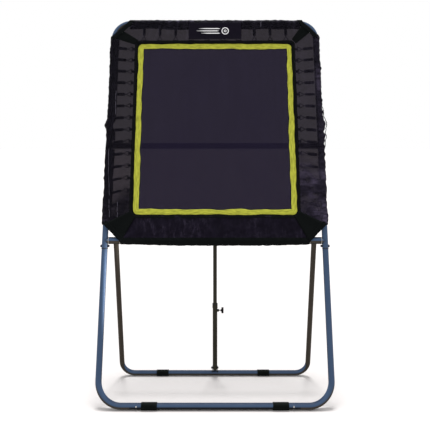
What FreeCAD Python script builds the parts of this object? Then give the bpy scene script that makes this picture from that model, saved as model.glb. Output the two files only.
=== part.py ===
import FreeCAD, Part
import math
import os

# Pitch back rebounder: a sprung mat in a tilted tube frame, held up by a folding rear brace
# and a telescopic strut. Millimetres, +Z up, +X across, the mat faces -Y.
#
# Frame space: the front frame standing upright with the centre of its base bar at the origin,
# Z up along the frame and +Y behind the mat. lean() tips it back to its place on the ground.
# Brace space: the rear brace hanging straight down from its pivot axis at the origin.
# Strut space: the strut hanging straight down from its upper pivot at the origin.

V = FreeCAD.Vector
AXIS_X = V(1, 0, 0)
AXIS_Y = V(0, 1, 0)
AXIS_Z = V(0, 0, 1)
BOTH_SIDES = (-1, 1)

# ---- driving dimensions ----
TILT = 15.0                # lean of the front frame from vertical, degrees
SPREAD = 385.0             # from the base bar to the rear bar along the ground
TUBE_R = 16.0              # frame tube
TUBE_WALL = 1.5
SPIGOT_R = 14.4            # reduced tube end that plugs into the next tube
SPIGOT_WALL = 1.3
SPIGOT_LENGTH = 60.0
SHOULDER = 3.0
HALF_WIDTH = 594.0         # centre of a side tube
TOP_HEIGHT = 2108.0        # centre of the top tube, along the frame
TOP_BEND_R = 100.0
BASE_BEND_R = 120.0
SIDE_TUBE_TOP = 1916.0     # joint between a side tube and the top tube
SIDE_TUBE_FOOT = 786.0     # joint between a side tube and a leg
BASE_BAR_HALF = 430.0
LOWER_BAR_HEIGHT = 829.0   # lower crossbar, which is also the brace's pivot axle
MID_BAR_HEIGHT = 1365.0
MID_BAR_BACK = 30.0        # mid crossbar's centre behind the plane of the frame

FOOT_WALL = 3.2
FOOT_FLAT = 0.7            # depth of the flat along the bottom of a foot sleeve
FRONT_FOOT_FROM = 292.0
FRONT_FOOT_LENGTH = 80.0

BRACE_R = 14.0
BRACE_WALL = 1.5
BRACE_HALF_WIDTH = 534.5
BRACE_BEND_R = 72.0
LEFT_REAR_FOOT_FROM = 268.0
RIGHT_REAR_FOOT_FROM = 245.0   # the sleeves slide on the bar and do not sit evenly
REAR_FOOT_LENGTH = 68.0
SLEEVE_R = 19.0
SLEEVE_BORE_R = 17.5
SLEEVE_FROM = 512.5
SLEEVE_TO = 572.5
BUSHING_BORE_R = TUBE_R + 0.08
BUSHING_DEPTH = 12.0
BUSHING_FLANGE = 1.5

STRUT_INNER_R = 10.6
STRUT_INNER_WALL = 1.2
STRUT_OUTER_R = 13.2
STRUT_OUTER_WALL = 1.2
STRUT_OUTER_LENGTH = 392.0   # from the lower pivot up to the mouth
STRUT_OVERLAP = 210.0
UPPER_PIVOT_BACK = 45.0      # upper pivot behind and above the lower crossbar's centre
UPPER_PIVOT_RISE = 40.0
LOWER_PIVOT_LIFT = 34.0      # lower pivot above the rear bar's centre
EAR_THICKNESS = 2.5
EAR_R = 11.0
EAR_GAP = 0.5
EAR_REACH = 100.0            # longer than any cut made across the ears
STRUT_END = 10.0             # each strut tube runs on this far past its pivot
COLLAR_R = 15.0
COLLAR_LENGTH = 22.0
COLLAR_LIP = 3.0
PAD_GAP = 0.05               # lock pad from the inner tube
PAD_THICKNESS = 2.0
KNOB_DROP = 38.0             # lock screw below the mouth of the outer tube
KNOB_R = 17.0
KNOB_THICKNESS = 12.0
KNOB_LOBES = 6
KNOB_SCALLOP_R = 6.5
KNOB_SCALLOP_AT = 21.5       # centre of a scallop from the knob's axis
KNOB_EDGE_R = 1.2
KNOB_HUB_R = 7.0
KNOB_HUB = 4.0
SCREW_R = 3.95
BOSS_R = 8.0
BOSS_LENGTH = 9.0
SCREW_STANDOFF = 23.0        # knob's inner face from the outer tube's surface

# a metric bolt size: shank radius, hole radius, width across flats, head and nut thickness
M8 = {"shank": 4.0, "hole": 4.08, "flats": 13.0, "head": 5.3, "nut": 6.5}
M6 = {"shank": 3.0, "hole": 3.08, "flats": 10.0, "head": 4.0, "nut": 5.0}
HEAD_CHAMFER = 0.2
THREAD_PAST_NUT = 1.5
WASHER_R = 8.0
WASHER_THICKNESS = 1.6
LEG_BOLT_RISE = 14.0         # leg bolt above the foot of the side tube

BUTTON_R = 3.9
BUTTON_HOLE_R = 4.0
BUTTON_AT = 396.0
BUTTON_PROUD = 3.5
BUTTON_DOME = 1.5
BUTTON_TRAVEL = 4.0
BUTTON_FLANGE_R = 5.4
BUTTON_FLANGE = 1.4
LEAF_THICKNESS = 0.8
LEAF_LENGTH = 36.0
LEAF_BEND = 5.0
LEAF_HALF_WIDTH = 4.0
LEAF_BACK = 11.0             # the leaf spring's back leg behind the tube's axis

MAT_HALF_WIDTH = 478.0
MAT_BOTTOM = 945.0
MAT_TOP = 1992.0
MAT_THICKNESS = 1.6
TRIM_HALF_WIDTH = 450.0      # outer edge of the yellow trim
TRIM_BOTTOM = 968.0
TRIM_TOP = 1976.0
TRIM_BAND = 30.0
WEBBING_THICKNESS = 1.2
EDGE_LIP = 2.0               # webbing folded past the edge of the mat
CORNER_R = 25.0

SIDE_SPRINGS = 15
SIDE_RING_TOP = 1944.0       # the highest ring on the mat's side edge
SIDE_RING_PITCH = 70.0
SIDE_HOLE_TOP = 1952.0       # the highest spring hole in the side tube
SIDE_HOLE_PITCH = 72.0
END_SPRINGS = 10
END_SPRING_PITCH = 93.0
SPRING_R = 6.5
SPRING_CORE_R = 3.9
SPRING_WIRE_R = 1.3
SPRING_HOLE_R = 2.5
SPRING_TO_TUBE = 4.0         # end of the coil from the tube's surface
SPRING_CAP = 2.0             # closed end of the coil, where the hook starts
HOOK_INTO_TUBE = 6.0
RING_WIRE_R = 1.75
RING_BASE = 4.5              # ring's base from the edge of the webbing
RING_DEPTH = 24.5
RING_HALF_BASE = 13.0
RING_TO_SPRING = 4.0
LOOP_DEPTH = 9.0
LOOP_HALF_WIDTH = 7.0
LOOP_HALF_THICKNESS = 3.5
LOOP_CLEARANCE = 0.1

COVER_THICKNESS = 2.5
COVER_CLEAR_R = 19.5         # inside of the cover where it wraps a tube
COVER_LIFT = 4.5             # inside of the cover above the mat, at its inner edge
COVER_HALF_OPENING = 452.0
COVER_OPENING_BOTTOM = 966.0
COVER_OPENING_TOP = 1978.0
BINDING_WIDTH = 20.0
BINDING_EXTRA = 0.8          # binding stands proud of the mesh on each face
CORNER_BAND_HALF = 22.0
TOP_CORNER_SUM = 2646.0      # the cover's top corner is cut where |x| + height is this
BOTTOM_CORNER_DIFF = 310.0   # and its bottom corner where height - |x| is this
COVER_WRAP_HALF = 507.0
COVER_DEPTH = 60.0           # deeper than the cover anywhere, for the shapes that trim it
COVER_REACH = 1500.0         # and wider
BADGE_HALF_WIDTH = 190.0
BADGE_FROM = 2004.0
BADGE_TO = 2104.0
BADGE_THICKNESS = 1.0

# ---- worked-out geometry ----
FOOT_R = TUBE_R + FOOT_WALL
BASE_HEIGHT = FOOT_R - FOOT_FLAT
REAR_FOOT_R = BRACE_R + FOOT_WALL
REAR_BAR_HEIGHT = REAR_FOOT_R - FOOT_FLAT
COVER_OUTER_R = COVER_CLEAR_R + COVER_THICKNESS
LEAN_SIN = math.sin(math.radians(TILT))
LEAN_COS = math.cos(math.radians(TILT))
FRONT_MOST = -FOOT_R
REAR_MOST = TOP_HEIGHT * LEAN_SIN + COVER_OUTER_R
BASE_Y = -(FRONT_MOST + REAR_MOST) / 2       # puts the box's middle on the origin
MAT_EDGE = MAT_HALF_WIDTH + EDGE_LIP
RING_TIP = RING_BASE + RING_DEPTH
BUTTON_INNER = -(SPIGOT_R - SPIGOT_WALL - BUTTON_FLANGE * 2)    # back of the button's pin


def on_ground(x, y, z):
    """A point of frame space, where it is on the ground."""
    return V(x, BASE_Y + z * LEAN_SIN + y * LEAN_COS, BASE_HEIGHT + z * LEAN_COS - y * LEAN_SIN)


def lean(shape):
    """A shape of frame space, tipped back onto the ground."""
    placed = shape.copy()
    placed.rotate(V(0, 0, 0), AXIS_X, -TILT)
    placed.translate(V(0, BASE_Y, BASE_HEIGHT))
    return placed


PIVOT = on_ground(0, 0, LOWER_BAR_HEIGHT)
REAR_BAR = V(0, BASE_Y + SPREAD, REAR_BAR_HEIGHT)
BRACE_LENGTH = (REAR_BAR - PIVOT).Length
BRACE_ANGLE = math.degrees(math.atan2(REAR_BAR.y - PIVOT.y, PIVOT.z - REAR_BAR.z))
UPPER_PIVOT = on_ground(0, UPPER_PIVOT_BACK, LOWER_BAR_HEIGHT + UPPER_PIVOT_RISE)
BRACE_UP = (PIVOT - REAR_BAR).normalize()
LOWER_PIVOT = REAR_BAR + BRACE_UP * LOWER_PIVOT_LIFT
STRUT_LENGTH = (UPPER_PIVOT - LOWER_PIVOT).Length
STRUT_ANGLE = math.degrees(math.atan2(LOWER_PIVOT.y - UPPER_PIVOT.y, UPPER_PIVOT.z - LOWER_PIVOT.z))


def hang(shape, pivot, angle):
    """A shape that hangs straight down from the origin, swung back by an angle about a pivot."""
    placed = shape.copy()
    placed.rotate(V(0, 0, 0), AXIS_X, angle)
    placed.translate(pivot)
    return placed


def hang_brace(shape):
    return hang(shape, PIVOT, BRACE_ANGLE)


def hang_strut(shape):
    return hang(shape, UPPER_PIVOT, STRUT_ANGLE)


def rod(start, end, radius):
    """A solid round bar from one point to another."""
    run = end - start
    return Part.makeCylinder(radius, run.Length, start, run)


def pipe(start, end, radius, wall):
    return rod(start, end, radius).cut(rod(start, end, radius - wall))


def box(low, high):
    return Part.makeBox(high.x - low.x, high.y - low.y, high.z - low.z, low)


def mirror_x(shape):
    return shape.mirror(V(0, 0, 0), AXIS_X)


def group(solids):
    return Part.makeCompound(solids)


def prism(points, thickness_from, thickness_to):
    """A prism whose outline is given as (x, height) points of the frame's plane."""
    corners = [V(x, thickness_from, z) for x, z in points]
    face = Part.Face(Part.makePolygon(corners + corners[:1]))
    return face.extrude(V(0, thickness_to - thickness_from, 0))


def rounded_panel(half_width, bottom, top, radius, y_from, y_to):
    """A rectangular slab in the frame's plane with rounded corners."""
    slab = box(V(-half_width, y_from, bottom), V(half_width, y_to, top))
    upright = [e for e in slab.Edges if abs(e.tangentAt(e.FirstParameter).y) > 0.99]
    return slab.makeFillet(radius, upright)


def bent_tube(path, start, direction, radius, wall):
    """A tube swept along a path of tangent lines and arcs."""
    outer = Part.Wire(Part.Circle(start, direction, radius).toShape())
    inner = Part.Wire(Part.Circle(start, direction, radius - wall).toShape())
    skin = path.makePipeShell([outer], True, True)
    core = path.makePipeShell([inner], True, True)
    return skin.cut(core)


def quarter_arc(start, middle, end):
    return Part.Arc(start, middle, end).toShape()


def spigot(mouth, tip):
    """The reduced end of a frame tube, with the shoulder that stops it at the next tube's end."""
    run = (tip - mouth).normalize()
    root = mouth - run * SHOULDER
    shoulder = pipe(root, mouth, TUBE_R, TUBE_R - SPIGOT_R + SPIGOT_WALL)
    return pipe(root, tip, SPIGOT_R, SPIGOT_WALL).fuse(shoulder)


def side_hole(side, height):
    """A spring hole in the inner wall of the left (-1) or right (1) side of the frame."""
    inner = V(side * (HALF_WIDTH - 2 * TUBE_R), 0, height)
    return rod(inner, V(side * HALF_WIDTH, 0, height), SPRING_HOLE_R)


def side_hole_heights():
    return [SIDE_HOLE_TOP - SIDE_HOLE_PITCH * i for i in range(SIDE_SPRINGS)]


def side_ring_heights():
    return [SIDE_RING_TOP - SIDE_RING_PITCH * i for i in range(SIDE_SPRINGS)]


def end_spring_places():
    return [END_SPRING_PITCH * (i - (END_SPRINGS - 1) / 2) for i in range(END_SPRINGS)]


# ---- front frame ----

def top_tube():
    half = HALF_WIDTH
    bend = TOP_BEND_R
    low = V(-half, 0, SIDE_TUBE_TOP)
    turn = bend * (1 - math.sqrt(0.5))
    points = [
        low,
        V(-half, 0, TOP_HEIGHT - bend),
        V(-half + turn, 0, TOP_HEIGHT - turn),
        V(-half + bend, 0, TOP_HEIGHT),
        V(half - bend, 0, TOP_HEIGHT),
        V(half - turn, 0, TOP_HEIGHT - turn),
        V(half, 0, TOP_HEIGHT - bend),
        V(half, 0, SIDE_TUBE_TOP),
    ]
    path = Part.Wire([
        Part.makeLine(points[0], points[1]),
        quarter_arc(points[1], points[2], points[3]),
        Part.makeLine(points[3], points[4]),
        quarter_arc(points[4], points[5], points[6]),
        Part.makeLine(points[6], points[7]),
    ])
    tube = bent_tube(path, low, AXIS_Z, TUBE_R, TUBE_WALL)
    for side in BOTH_SIDES:
        mouth = V(side * half, 0, SIDE_TUBE_TOP)
        tube = tube.fuse(spigot(mouth, mouth - V(0, 0, SPIGOT_LENGTH)))
        for height in side_hole_heights():
            tube = tube.cut(side_hole(side, height))
    for x in end_spring_places():
        tube = tube.cut(rod(V(x, 0, TOP_HEIGHT - 2 * TUBE_R), V(x, 0, TOP_HEIGHT), SPRING_HOLE_R))
    return tube.removeSplitter()


def leg_bolt_hole():
    """The hole for the right leg's bolt, through both tubes."""
    height = SIDE_TUBE_FOOT + LEG_BOLT_RISE
    reach = 2 * TUBE_R
    return rod(V(HALF_WIDTH - reach, 0, height), V(HALF_WIDTH + reach, 0, height), M8["hole"])


def right_side_tube():
    foot = V(HALF_WIDTH, 0, SIDE_TUBE_FOOT)
    tube = pipe(foot, V(HALF_WIDTH, 0, SIDE_TUBE_TOP), TUBE_R, TUBE_WALL)
    tube = tube.cut(leg_bolt_hole())
    for height in side_hole_heights():
        tube = tube.cut(side_hole(1, height))
    return tube


def right_leg():
    half = HALF_WIDTH
    bend = BASE_BEND_R
    turn = bend * (1 - math.sqrt(0.5))
    top = V(half, 0, SIDE_TUBE_FOOT)
    mouth = V(BASE_BAR_HALF, 0, 0)
    path = Part.Wire([
        Part.makeLine(top, V(half, 0, bend)),
        quarter_arc(V(half, 0, bend), V(half - turn, 0, turn), V(half - bend, 0, 0)),
        Part.makeLine(V(half - bend, 0, 0), mouth),
    ])
    tube = bent_tube(path, top, AXIS_Z, TUBE_R, TUBE_WALL)
    tube = tube.fuse(spigot(top, top + V(0, 0, SPIGOT_LENGTH)))
    tube = tube.fuse(spigot(mouth, mouth - V(SPIGOT_LENGTH, 0, 0)))
    tube = tube.cut(leg_bolt_hole())
    tube = tube.cut(rod(V(BUTTON_AT, -2 * TUBE_R, 0), V(BUTTON_AT, 0, 0), BUTTON_HOLE_R))
    return tube.removeSplitter()


def base_bar():
    tube = pipe(V(-BASE_BAR_HALF, 0, 0), V(BASE_BAR_HALF, 0, 0), TUBE_R, TUBE_WALL)
    for side in BOTH_SIDES:
        x = side * BUTTON_AT
        tube = tube.cut(rod(V(x, -2 * TUBE_R, 0), V(x, 0, 0), BUTTON_HOLE_R))
    return tube


def cope_to_sides(bar):
    """Cuts a crossbar's ends to sit on the side tubes."""
    for side in BOTH_SIDES:
        x = side * HALF_WIDTH
        bar = bar.cut(rod(V(x, 0, SIDE_TUBE_FOOT), V(x, 0, SIDE_TUBE_TOP), TUBE_R))
    return bar


def largest(shape):
    """The one piece that is left when a cut has also left scraps."""
    return max(shape.Solids, key=lambda solid: solid.Volume)


def lower_crossbar():
    left = V(-HALF_WIDTH, 0, LOWER_BAR_HEIGHT)
    bar = cope_to_sides(pipe(left, V(HALF_WIDTH, 0, LOWER_BAR_HEIGHT), TUBE_R, TUBE_WALL))
    for x in end_spring_places():
        hole = rod(V(x, 0, LOWER_BAR_HEIGHT), V(x, 0, LOWER_BAR_HEIGHT + 2 * TUBE_R), SPRING_HOLE_R)
        bar = bar.cut(hole)
    return largest(bar)


def mid_crossbar():
    """The bar across the back of the side tubes, closed at each end by a welded disc."""
    left = V(-HALF_WIDTH, MID_BAR_BACK, MID_BAR_HEIGHT)
    right = V(HALF_WIDTH, MID_BAR_BACK, MID_BAR_HEIGHT)
    disc = V(TUBE_WALL, 0, 0)
    bar = pipe(left, right, TUBE_R, TUBE_WALL)
    bar = bar.fuse([rod(left, left + disc, TUBE_R), rod(right - disc, right, TUBE_R)])
    return largest(cope_to_sides(bar).removeSplitter())


def foot_sleeve(x_from, length, centre_y, centre_height, bore_r, outer_r):
    """A rubber sleeve round a base tube, with a flat along its bottom."""
    start = V(x_from, centre_y, centre_height)
    sleeve = pipe(start, start + V(length, 0, 0), outer_r, outer_r - bore_r)
    ground = box(
        V(x_from - 1, centre_y - 2 * outer_r, -outer_r),
        V(x_from + length + 1, centre_y + 2 * outer_r, 0),
    )
    return sleeve.cut(ground)


def hexagon(centre, flats, thickness):
    """A hexagonal prism from a point along +X."""
    radius = flats / math.sqrt(3)
    angles = [math.radians(60 * i) for i in range(7)]
    corners = [centre + V(0, radius * math.cos(a), radius * math.sin(a)) for a in angles]
    return Part.Face(Part.makePolygon(corners)).extrude(V(thickness, 0, 0))


def hex_head(centre, size):
    """A bolt head with the corners of its outer face chamfered."""
    thickness = size["head"]
    blank = hexagon(centre, size["flats"], thickness)
    wide = size["flats"] / 2 + thickness
    narrow = size["flats"] / 2 - HEAD_CHAMFER
    return blank.common(Part.makeCone(wide, narrow, thickness + HEAD_CHAMFER, centre, AXIS_X))


def bolt(inner_face, outer_face, size):
    """A bolt along X, its head at outer_face and its end past the nut at inner_face."""
    tip = inner_face - V(size["nut"] + THREAD_PAST_NUT, 0, 0)
    shank = rod(tip, outer_face + V(1, 0, 0), size["shank"])
    return hex_head(outer_face, size).fuse(shank).removeSplitter()


def nut(face, size):
    """A nut whose inner end sits against face."""
    start = face - V(size["nut"], 0, 0)
    return hexagon(start, size["flats"], size["nut"]).cut(rod(start, face, size["shank"]))


def leg_bolt_faces():
    height = SIDE_TUBE_FOOT + LEG_BOLT_RISE
    reach = TUBE_R + WASHER_THICKNESS
    return V(HALF_WIDTH - reach, 0, height), V(HALF_WIDTH + reach, 0, height)


def right_leg_washers():
    inner, outer = leg_bolt_faces()
    thickness = V(WASHER_THICKNESS, 0, 0)
    ring = WASHER_R - M8["hole"]
    return [pipe(inner, inner + thickness, WASHER_R, ring), pipe(outer - thickness, outer, WASHER_R, ring)]


# ---- snap buttons ----

def right_snap_button():
    """A domed pin that stands out of the base bar's front, with a flange inside the spigot."""
    tip = -(TUBE_R + BUTTON_PROUD)
    root = V(BUTTON_AT, BUTTON_INNER, 0)
    shoulder = V(BUTTON_AT, tip + BUTTON_DOME, 0)
    pin = rod(root, shoulder, BUTTON_R)
    dome_r = (BUTTON_R ** 2 + BUTTON_DOME ** 2) / (2 * BUTTON_DOME)
    dome = Part.makeSphere(dome_r, V(BUTTON_AT, tip + dome_r, 0))
    dome = dome.common(rod(shoulder, V(BUTTON_AT, tip - 1, 0), BUTTON_R))
    flange = rod(root, root - V(0, BUTTON_FLANGE, 0), BUTTON_FLANGE_R)
    return pin.fuse([dome, flange]).removeSplitter()


def right_snap_spring():
    """The leaf spring behind a button, folded to a U and drawn as it is when the button is pressed."""
    front = BUTTON_INNER + BUTTON_TRAVEL + 0.2
    middle = (front + LEAF_BACK) / 2
    end = BUTTON_AT + LEAF_LENGTH / 4
    bend = end - LEAF_LENGTH
    leaf = LEAF_THICKNESS
    outer = [(end, front), (bend, front), (bend - LEAF_BEND, middle), (bend, LEAF_BACK), (end, LEAF_BACK)]
    inner = [
        (end, LEAF_BACK - leaf),
        (bend + leaf / 2, LEAF_BACK - leaf),
        (bend - LEAF_BEND + leaf, middle),
        (bend + leaf / 2, front + leaf),
        (end, front + leaf),
    ]
    outline = [V(x, y, -LEAF_HALF_WIDTH) for x, y in outer + inner]
    face = Part.Face(Part.makePolygon(outline + outline[:1]))
    return face.extrude(V(0, 0, 2 * LEAF_HALF_WIDTH))


# ---- rear brace ----

def rear_brace_tube():
    half = BRACE_HALF_WIDTH
    bend = BRACE_BEND_R
    turn = bend * (1 - math.sqrt(0.5))
    low = -BRACE_LENGTH
    top = V(-half, 0, 0)
    path = Part.Wire([
        Part.makeLine(top, V(-half, 0, low + bend)),
        quarter_arc(V(-half, 0, low + bend), V(-half + turn, 0, low + turn), V(-half + bend, 0, low)),
        Part.makeLine(V(-half + bend, 0, low), V(half - bend, 0, low)),
        quarter_arc(V(half - bend, 0, low), V(half - turn, 0, low + turn), V(half, 0, low + bend)),
        Part.makeLine(V(half, 0, low + bend), V(half, 0, 0)),
    ])
    tube = bent_tube(path, top, AXIS_Z, BRACE_R, BRACE_WALL)
    tube = tube.cut(rod(V(-SLEEVE_TO, 0, 0), V(SLEEVE_TO, 0, 0), SLEEVE_R))
    return largest(tube)


def right_pivot_sleeve():
    return pipe(V(SLEEVE_FROM, 0, 0), V(SLEEVE_TO, 0, 0), SLEEVE_R, SLEEVE_R - SLEEVE_BORE_R)


def right_bushings():
    """Two flanged bushings, one in each end of a pivot sleeve."""
    bushings = []
    for face, inward in ((SLEEVE_FROM, 1), (SLEEVE_TO, -1)):
        mouth = V(face, 0, 0)
        body = rod(mouth, mouth + V(inward * BUSHING_DEPTH, 0, 0), SLEEVE_BORE_R)
        flange = rod(mouth - V(inward * BUSHING_FLANGE, 0, 0), mouth, SLEEVE_R)
        axle = rod(V(SLEEVE_FROM - TUBE_R, 0, 0), V(SLEEVE_TO + TUBE_R, 0, 0), BUSHING_BORE_R)
        bushings.append(body.fuse(flange).cut(axle).removeSplitter())
    return bushings


# ---- strut ----

def ears(pivot, bar_centre, bar_r, tube_r):
    """Two plates welded to a bar, one each side of a strut tube."""
    reach = pivot - bar_centre
    side = reach.cross(AXIS_X).normalize() * EAR_R
    across = V(EAR_REACH, 0, 0)
    bar = rod(bar_centre - across, bar_centre + across, bar_r)
    hole = rod(pivot - across, pivot + across, M6["hole"])
    thickness = V(EAR_THICKNESS, 0, 0)
    plates = []
    for x_from in (tube_r + EAR_GAP, -tube_r - EAR_GAP - EAR_THICKNESS):
        shift = V(x_from, 0, 0)
        corners = [bar_centre + side, pivot + side, pivot - side, bar_centre - side]
        outline = [corner + shift for corner in corners]
        plate = Part.Face(Part.makePolygon(outline + outline[:1])).extrude(thickness)
        plate = plate.fuse(rod(pivot + shift, pivot + shift + thickness, EAR_R)).removeSplitter()
        plates.append(largest(plate.cut(bar).cut(hole)))
    return plates


def pivot_bolt_and_nut(pivot, tube_r):
    reach = V(tube_r + EAR_GAP + EAR_THICKNESS, 0, 0)
    return bolt(pivot - reach, pivot + reach, M6), nut(pivot - reach, M6)


def strut_mouth():
    return STRUT_OUTER_LENGTH - STRUT_LENGTH


def cross_hole(height, radius):
    return rod(V(-EAR_REACH, 0, height), V(EAR_REACH, 0, height), radius)


def strut_inner_tube():
    """The upper tube, in strut space, from just above its pivot to inside the outer tube."""
    foot = V(0, 0, strut_mouth() - STRUT_OVERLAP)
    tube = pipe(V(0, 0, STRUT_END), foot, STRUT_INNER_R, STRUT_INNER_WALL)
    return tube.cut(cross_hole(0, M6["hole"]))


def lock_height():
    return strut_mouth() - KNOB_DROP


def along_lock(x_from, x_to, radius):
    """A rod on the lock screw's axis, from one distance to another from the strut's axis."""
    return rod(V(x_from, 0, lock_height()), V(x_to, 0, lock_height()), radius)


def lock_hole():
    return along_lock(0, STRUT_OUTER_R + BOSS_LENGTH + 1, M8["shank"])


def strut_outer_tube():
    foot = V(0, 0, -STRUT_LENGTH - STRUT_END)
    tube = pipe(foot, V(0, 0, strut_mouth()), STRUT_OUTER_R, STRUT_OUTER_WALL)
    return tube.cut(cross_hole(-STRUT_LENGTH, M6["hole"])).cut(lock_hole())


def strut_collar():
    """The plastic ring on the mouth of the outer tube, with a lip over the tube's end."""
    mouth = V(0, 0, strut_mouth())
    foot = mouth - V(0, 0, COLLAR_LENGTH)
    top = mouth + V(0, 0, COLLAR_LIP)
    bore = STRUT_OUTER_R - STRUT_OUTER_WALL
    return rod(foot, top, COLLAR_R).cut(rod(foot, mouth, STRUT_OUTER_R)).cut(rod(foot, top, bore))


def lock_boss():
    boss = along_lock(0, STRUT_OUTER_R + BOSS_LENGTH, BOSS_R)
    below = V(0, 0, lock_height() - 2 * BOSS_R)
    above = V(0, 0, lock_height() + 2 * BOSS_R)
    return boss.cut(rod(below, above, STRUT_OUTER_R)).cut(lock_hole())


def lock_pad():
    """The disc that the lock screw presses on the inner tube."""
    x = STRUT_INNER_R + PAD_GAP
    return along_lock(x, x + PAD_THICKNESS, SCREW_R)


def lock_screw():
    x = STRUT_INNER_R + PAD_GAP + PAD_THICKNESS
    return along_lock(x, STRUT_OUTER_R + SCREW_STANDOFF + KNOB_THICKNESS / 2, SCREW_R)


def lock_knob():
    """A lobed hand knob on the end of the lock screw."""
    inner = V(STRUT_OUTER_R + SCREW_STANDOFF, 0, lock_height())
    thickness = V(KNOB_THICKNESS, 0, 0)
    knob = rod(inner, inner + thickness, KNOB_R)
    for i in range(KNOB_LOBES):
        angle = math.radians(360 / KNOB_LOBES * i)
        centre = inner + V(0, math.cos(angle), math.sin(angle)) * KNOB_SCALLOP_AT
        knob = knob.cut(rod(centre, centre + thickness, KNOB_SCALLOP_R))
    rim = [e for e in knob.Edges if e.BoundBox.XLength < 0.01]
    knob = knob.makeFillet(KNOB_EDGE_R, rim)
    hub = rod(inner - V(KNOB_HUB, 0, 0), inner, KNOB_HUB_R)
    return knob.fuse(hub).cut(lock_screw()).removeSplitter()


# ---- mat, rings and springs ----

def mat():
    half = MAT_THICKNESS / 2
    return rounded_panel(MAT_HALF_WIDTH, MAT_BOTTOM, MAT_TOP, CORNER_R, -half, half)


def edge_webbing():
    """Black webbing folded over the edge of the mat, up to the yellow trim."""
    half = MAT_THICKNESS / 2 + WEBBING_THICKNESS
    outer = rounded_panel(
        MAT_HALF_WIDTH + EDGE_LIP, MAT_BOTTOM - EDGE_LIP, MAT_TOP + EDGE_LIP, CORNER_R, -half, half
    )
    inner = rounded_panel(TRIM_HALF_WIDTH, TRIM_BOTTOM, TRIM_TOP, CORNER_R, -half - 1, half + 1)
    return outer.cut(inner).cut(mat())


def mat_trim():
    """Yellow-green webbing sewn on the front of the mat."""
    front = -MAT_THICKNESS / 2 - WEBBING_THICKNESS
    back = -MAT_THICKNESS / 2
    outer = rounded_panel(TRIM_HALF_WIDTH, TRIM_BOTTOM, TRIM_TOP, CORNER_R, front, back)
    band = TRIM_BAND
    opening = box(
        V(-TRIM_HALF_WIDTH + band, front - 1, TRIM_BOTTOM + band),
        V(TRIM_HALF_WIDTH - band, back + 1, TRIM_TOP - band),
    )
    return outer.cut(opening)


def spring_stations():
    """Where each ring sits on the mat's edge: side, point, turn about Y, and its spring's lean.

    A ring and its spring are made pointing along +X from the edge at the origin, and turned into
    place. A side spring leans, because the holes in the tube are further apart than the rings."""
    stations = []
    for ring_height, hole_height in zip(side_ring_heights(), side_hole_heights()):
        rise = hole_height - ring_height
        stations.append(("right", V(MAT_EDGE, 0, ring_height), 0, rise))
        stations.append(("left", V(-MAT_EDGE, 0, ring_height), 180, -rise))
    for x in end_spring_places():
        stations.append(("top", V(x, 0, MAT_TOP + EDGE_LIP), -90, 0))
        stations.append(("bottom", V(x, 0, MAT_BOTTOM - EDGE_LIP), 90, 0))
    return stations


def spring_gap(side):
    """From the edge of the webbing to the surface of the tube that the springs hook into."""
    gaps = {
        "top": TOP_HEIGHT - TUBE_R - MAT_TOP - EDGE_LIP,
        "bottom": MAT_BOTTOM - EDGE_LIP - LOWER_BAR_HEIGHT - TUBE_R,
    }
    return gaps.get(side, HALF_WIDTH - TUBE_R - MAT_EDGE)


def spring_solid(gap, rise):
    """A spring as a plain sleeve with its hook wire, leaning so that it rises by this much."""
    run = gap - RING_TIP
    length = math.hypot(run, rise)
    start = V(RING_TO_SPRING, 0, 0)
    end = V(length - SPRING_TO_TUBE, 0, 0)
    closed = end - V(SPRING_CAP, 0, 0)
    coil = pipe(start, end, SPRING_R, SPRING_R - SPRING_CORE_R)
    cap = pipe(closed, end, SPRING_R, SPRING_R - SPRING_WIRE_R)
    hook = rod(closed, V(length + HOOK_INTO_TUBE, 0, 0), SPRING_WIRE_R)
    spring = coil.fuse([cap, hook]).removeSplitter()
    spring.rotate(V(0, 0, 0), AXIS_Y, -math.degrees(math.atan2(rise, run)))
    spring.translate(V(RING_TIP, 0, 0))
    return spring


def ring_solid():
    """A triangular wire ring, its base held by the loop and its point at the spring."""
    corners = [
        V(RING_BASE, 0, -RING_HALF_BASE),
        V(RING_BASE, 0, RING_HALF_BASE),
        V(RING_TIP, 0, 0),
    ]
    wires = [rod(corners[i], corners[(i + 1) % 3], RING_WIRE_R) for i in range(3)]
    wires += [Part.makeSphere(RING_WIRE_R, corner) for corner in corners]
    return wires[0].fuse(wires[1:])


def loop_solid():
    """A tab of webbing that holds the base of a ring."""
    tab = box(
        V(0, -LOOP_HALF_THICKNESS, -LOOP_HALF_WIDTH),
        V(LOOP_DEPTH, LOOP_HALF_THICKNESS, LOOP_HALF_WIDTH),
    )
    middle = V(RING_BASE, 0, 0)
    reach = V(0, 0, RING_HALF_BASE)
    return tab.cut(rod(middle - reach, middle + reach, RING_WIRE_R + LOOP_CLEARANCE))


def at_station(shape, point, turn):
    placed = shape.copy()
    placed.rotate(V(0, 0, 0), AXIS_Y, turn)
    placed.translate(point)
    return lean(placed)


# ---- spring cover ----

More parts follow.
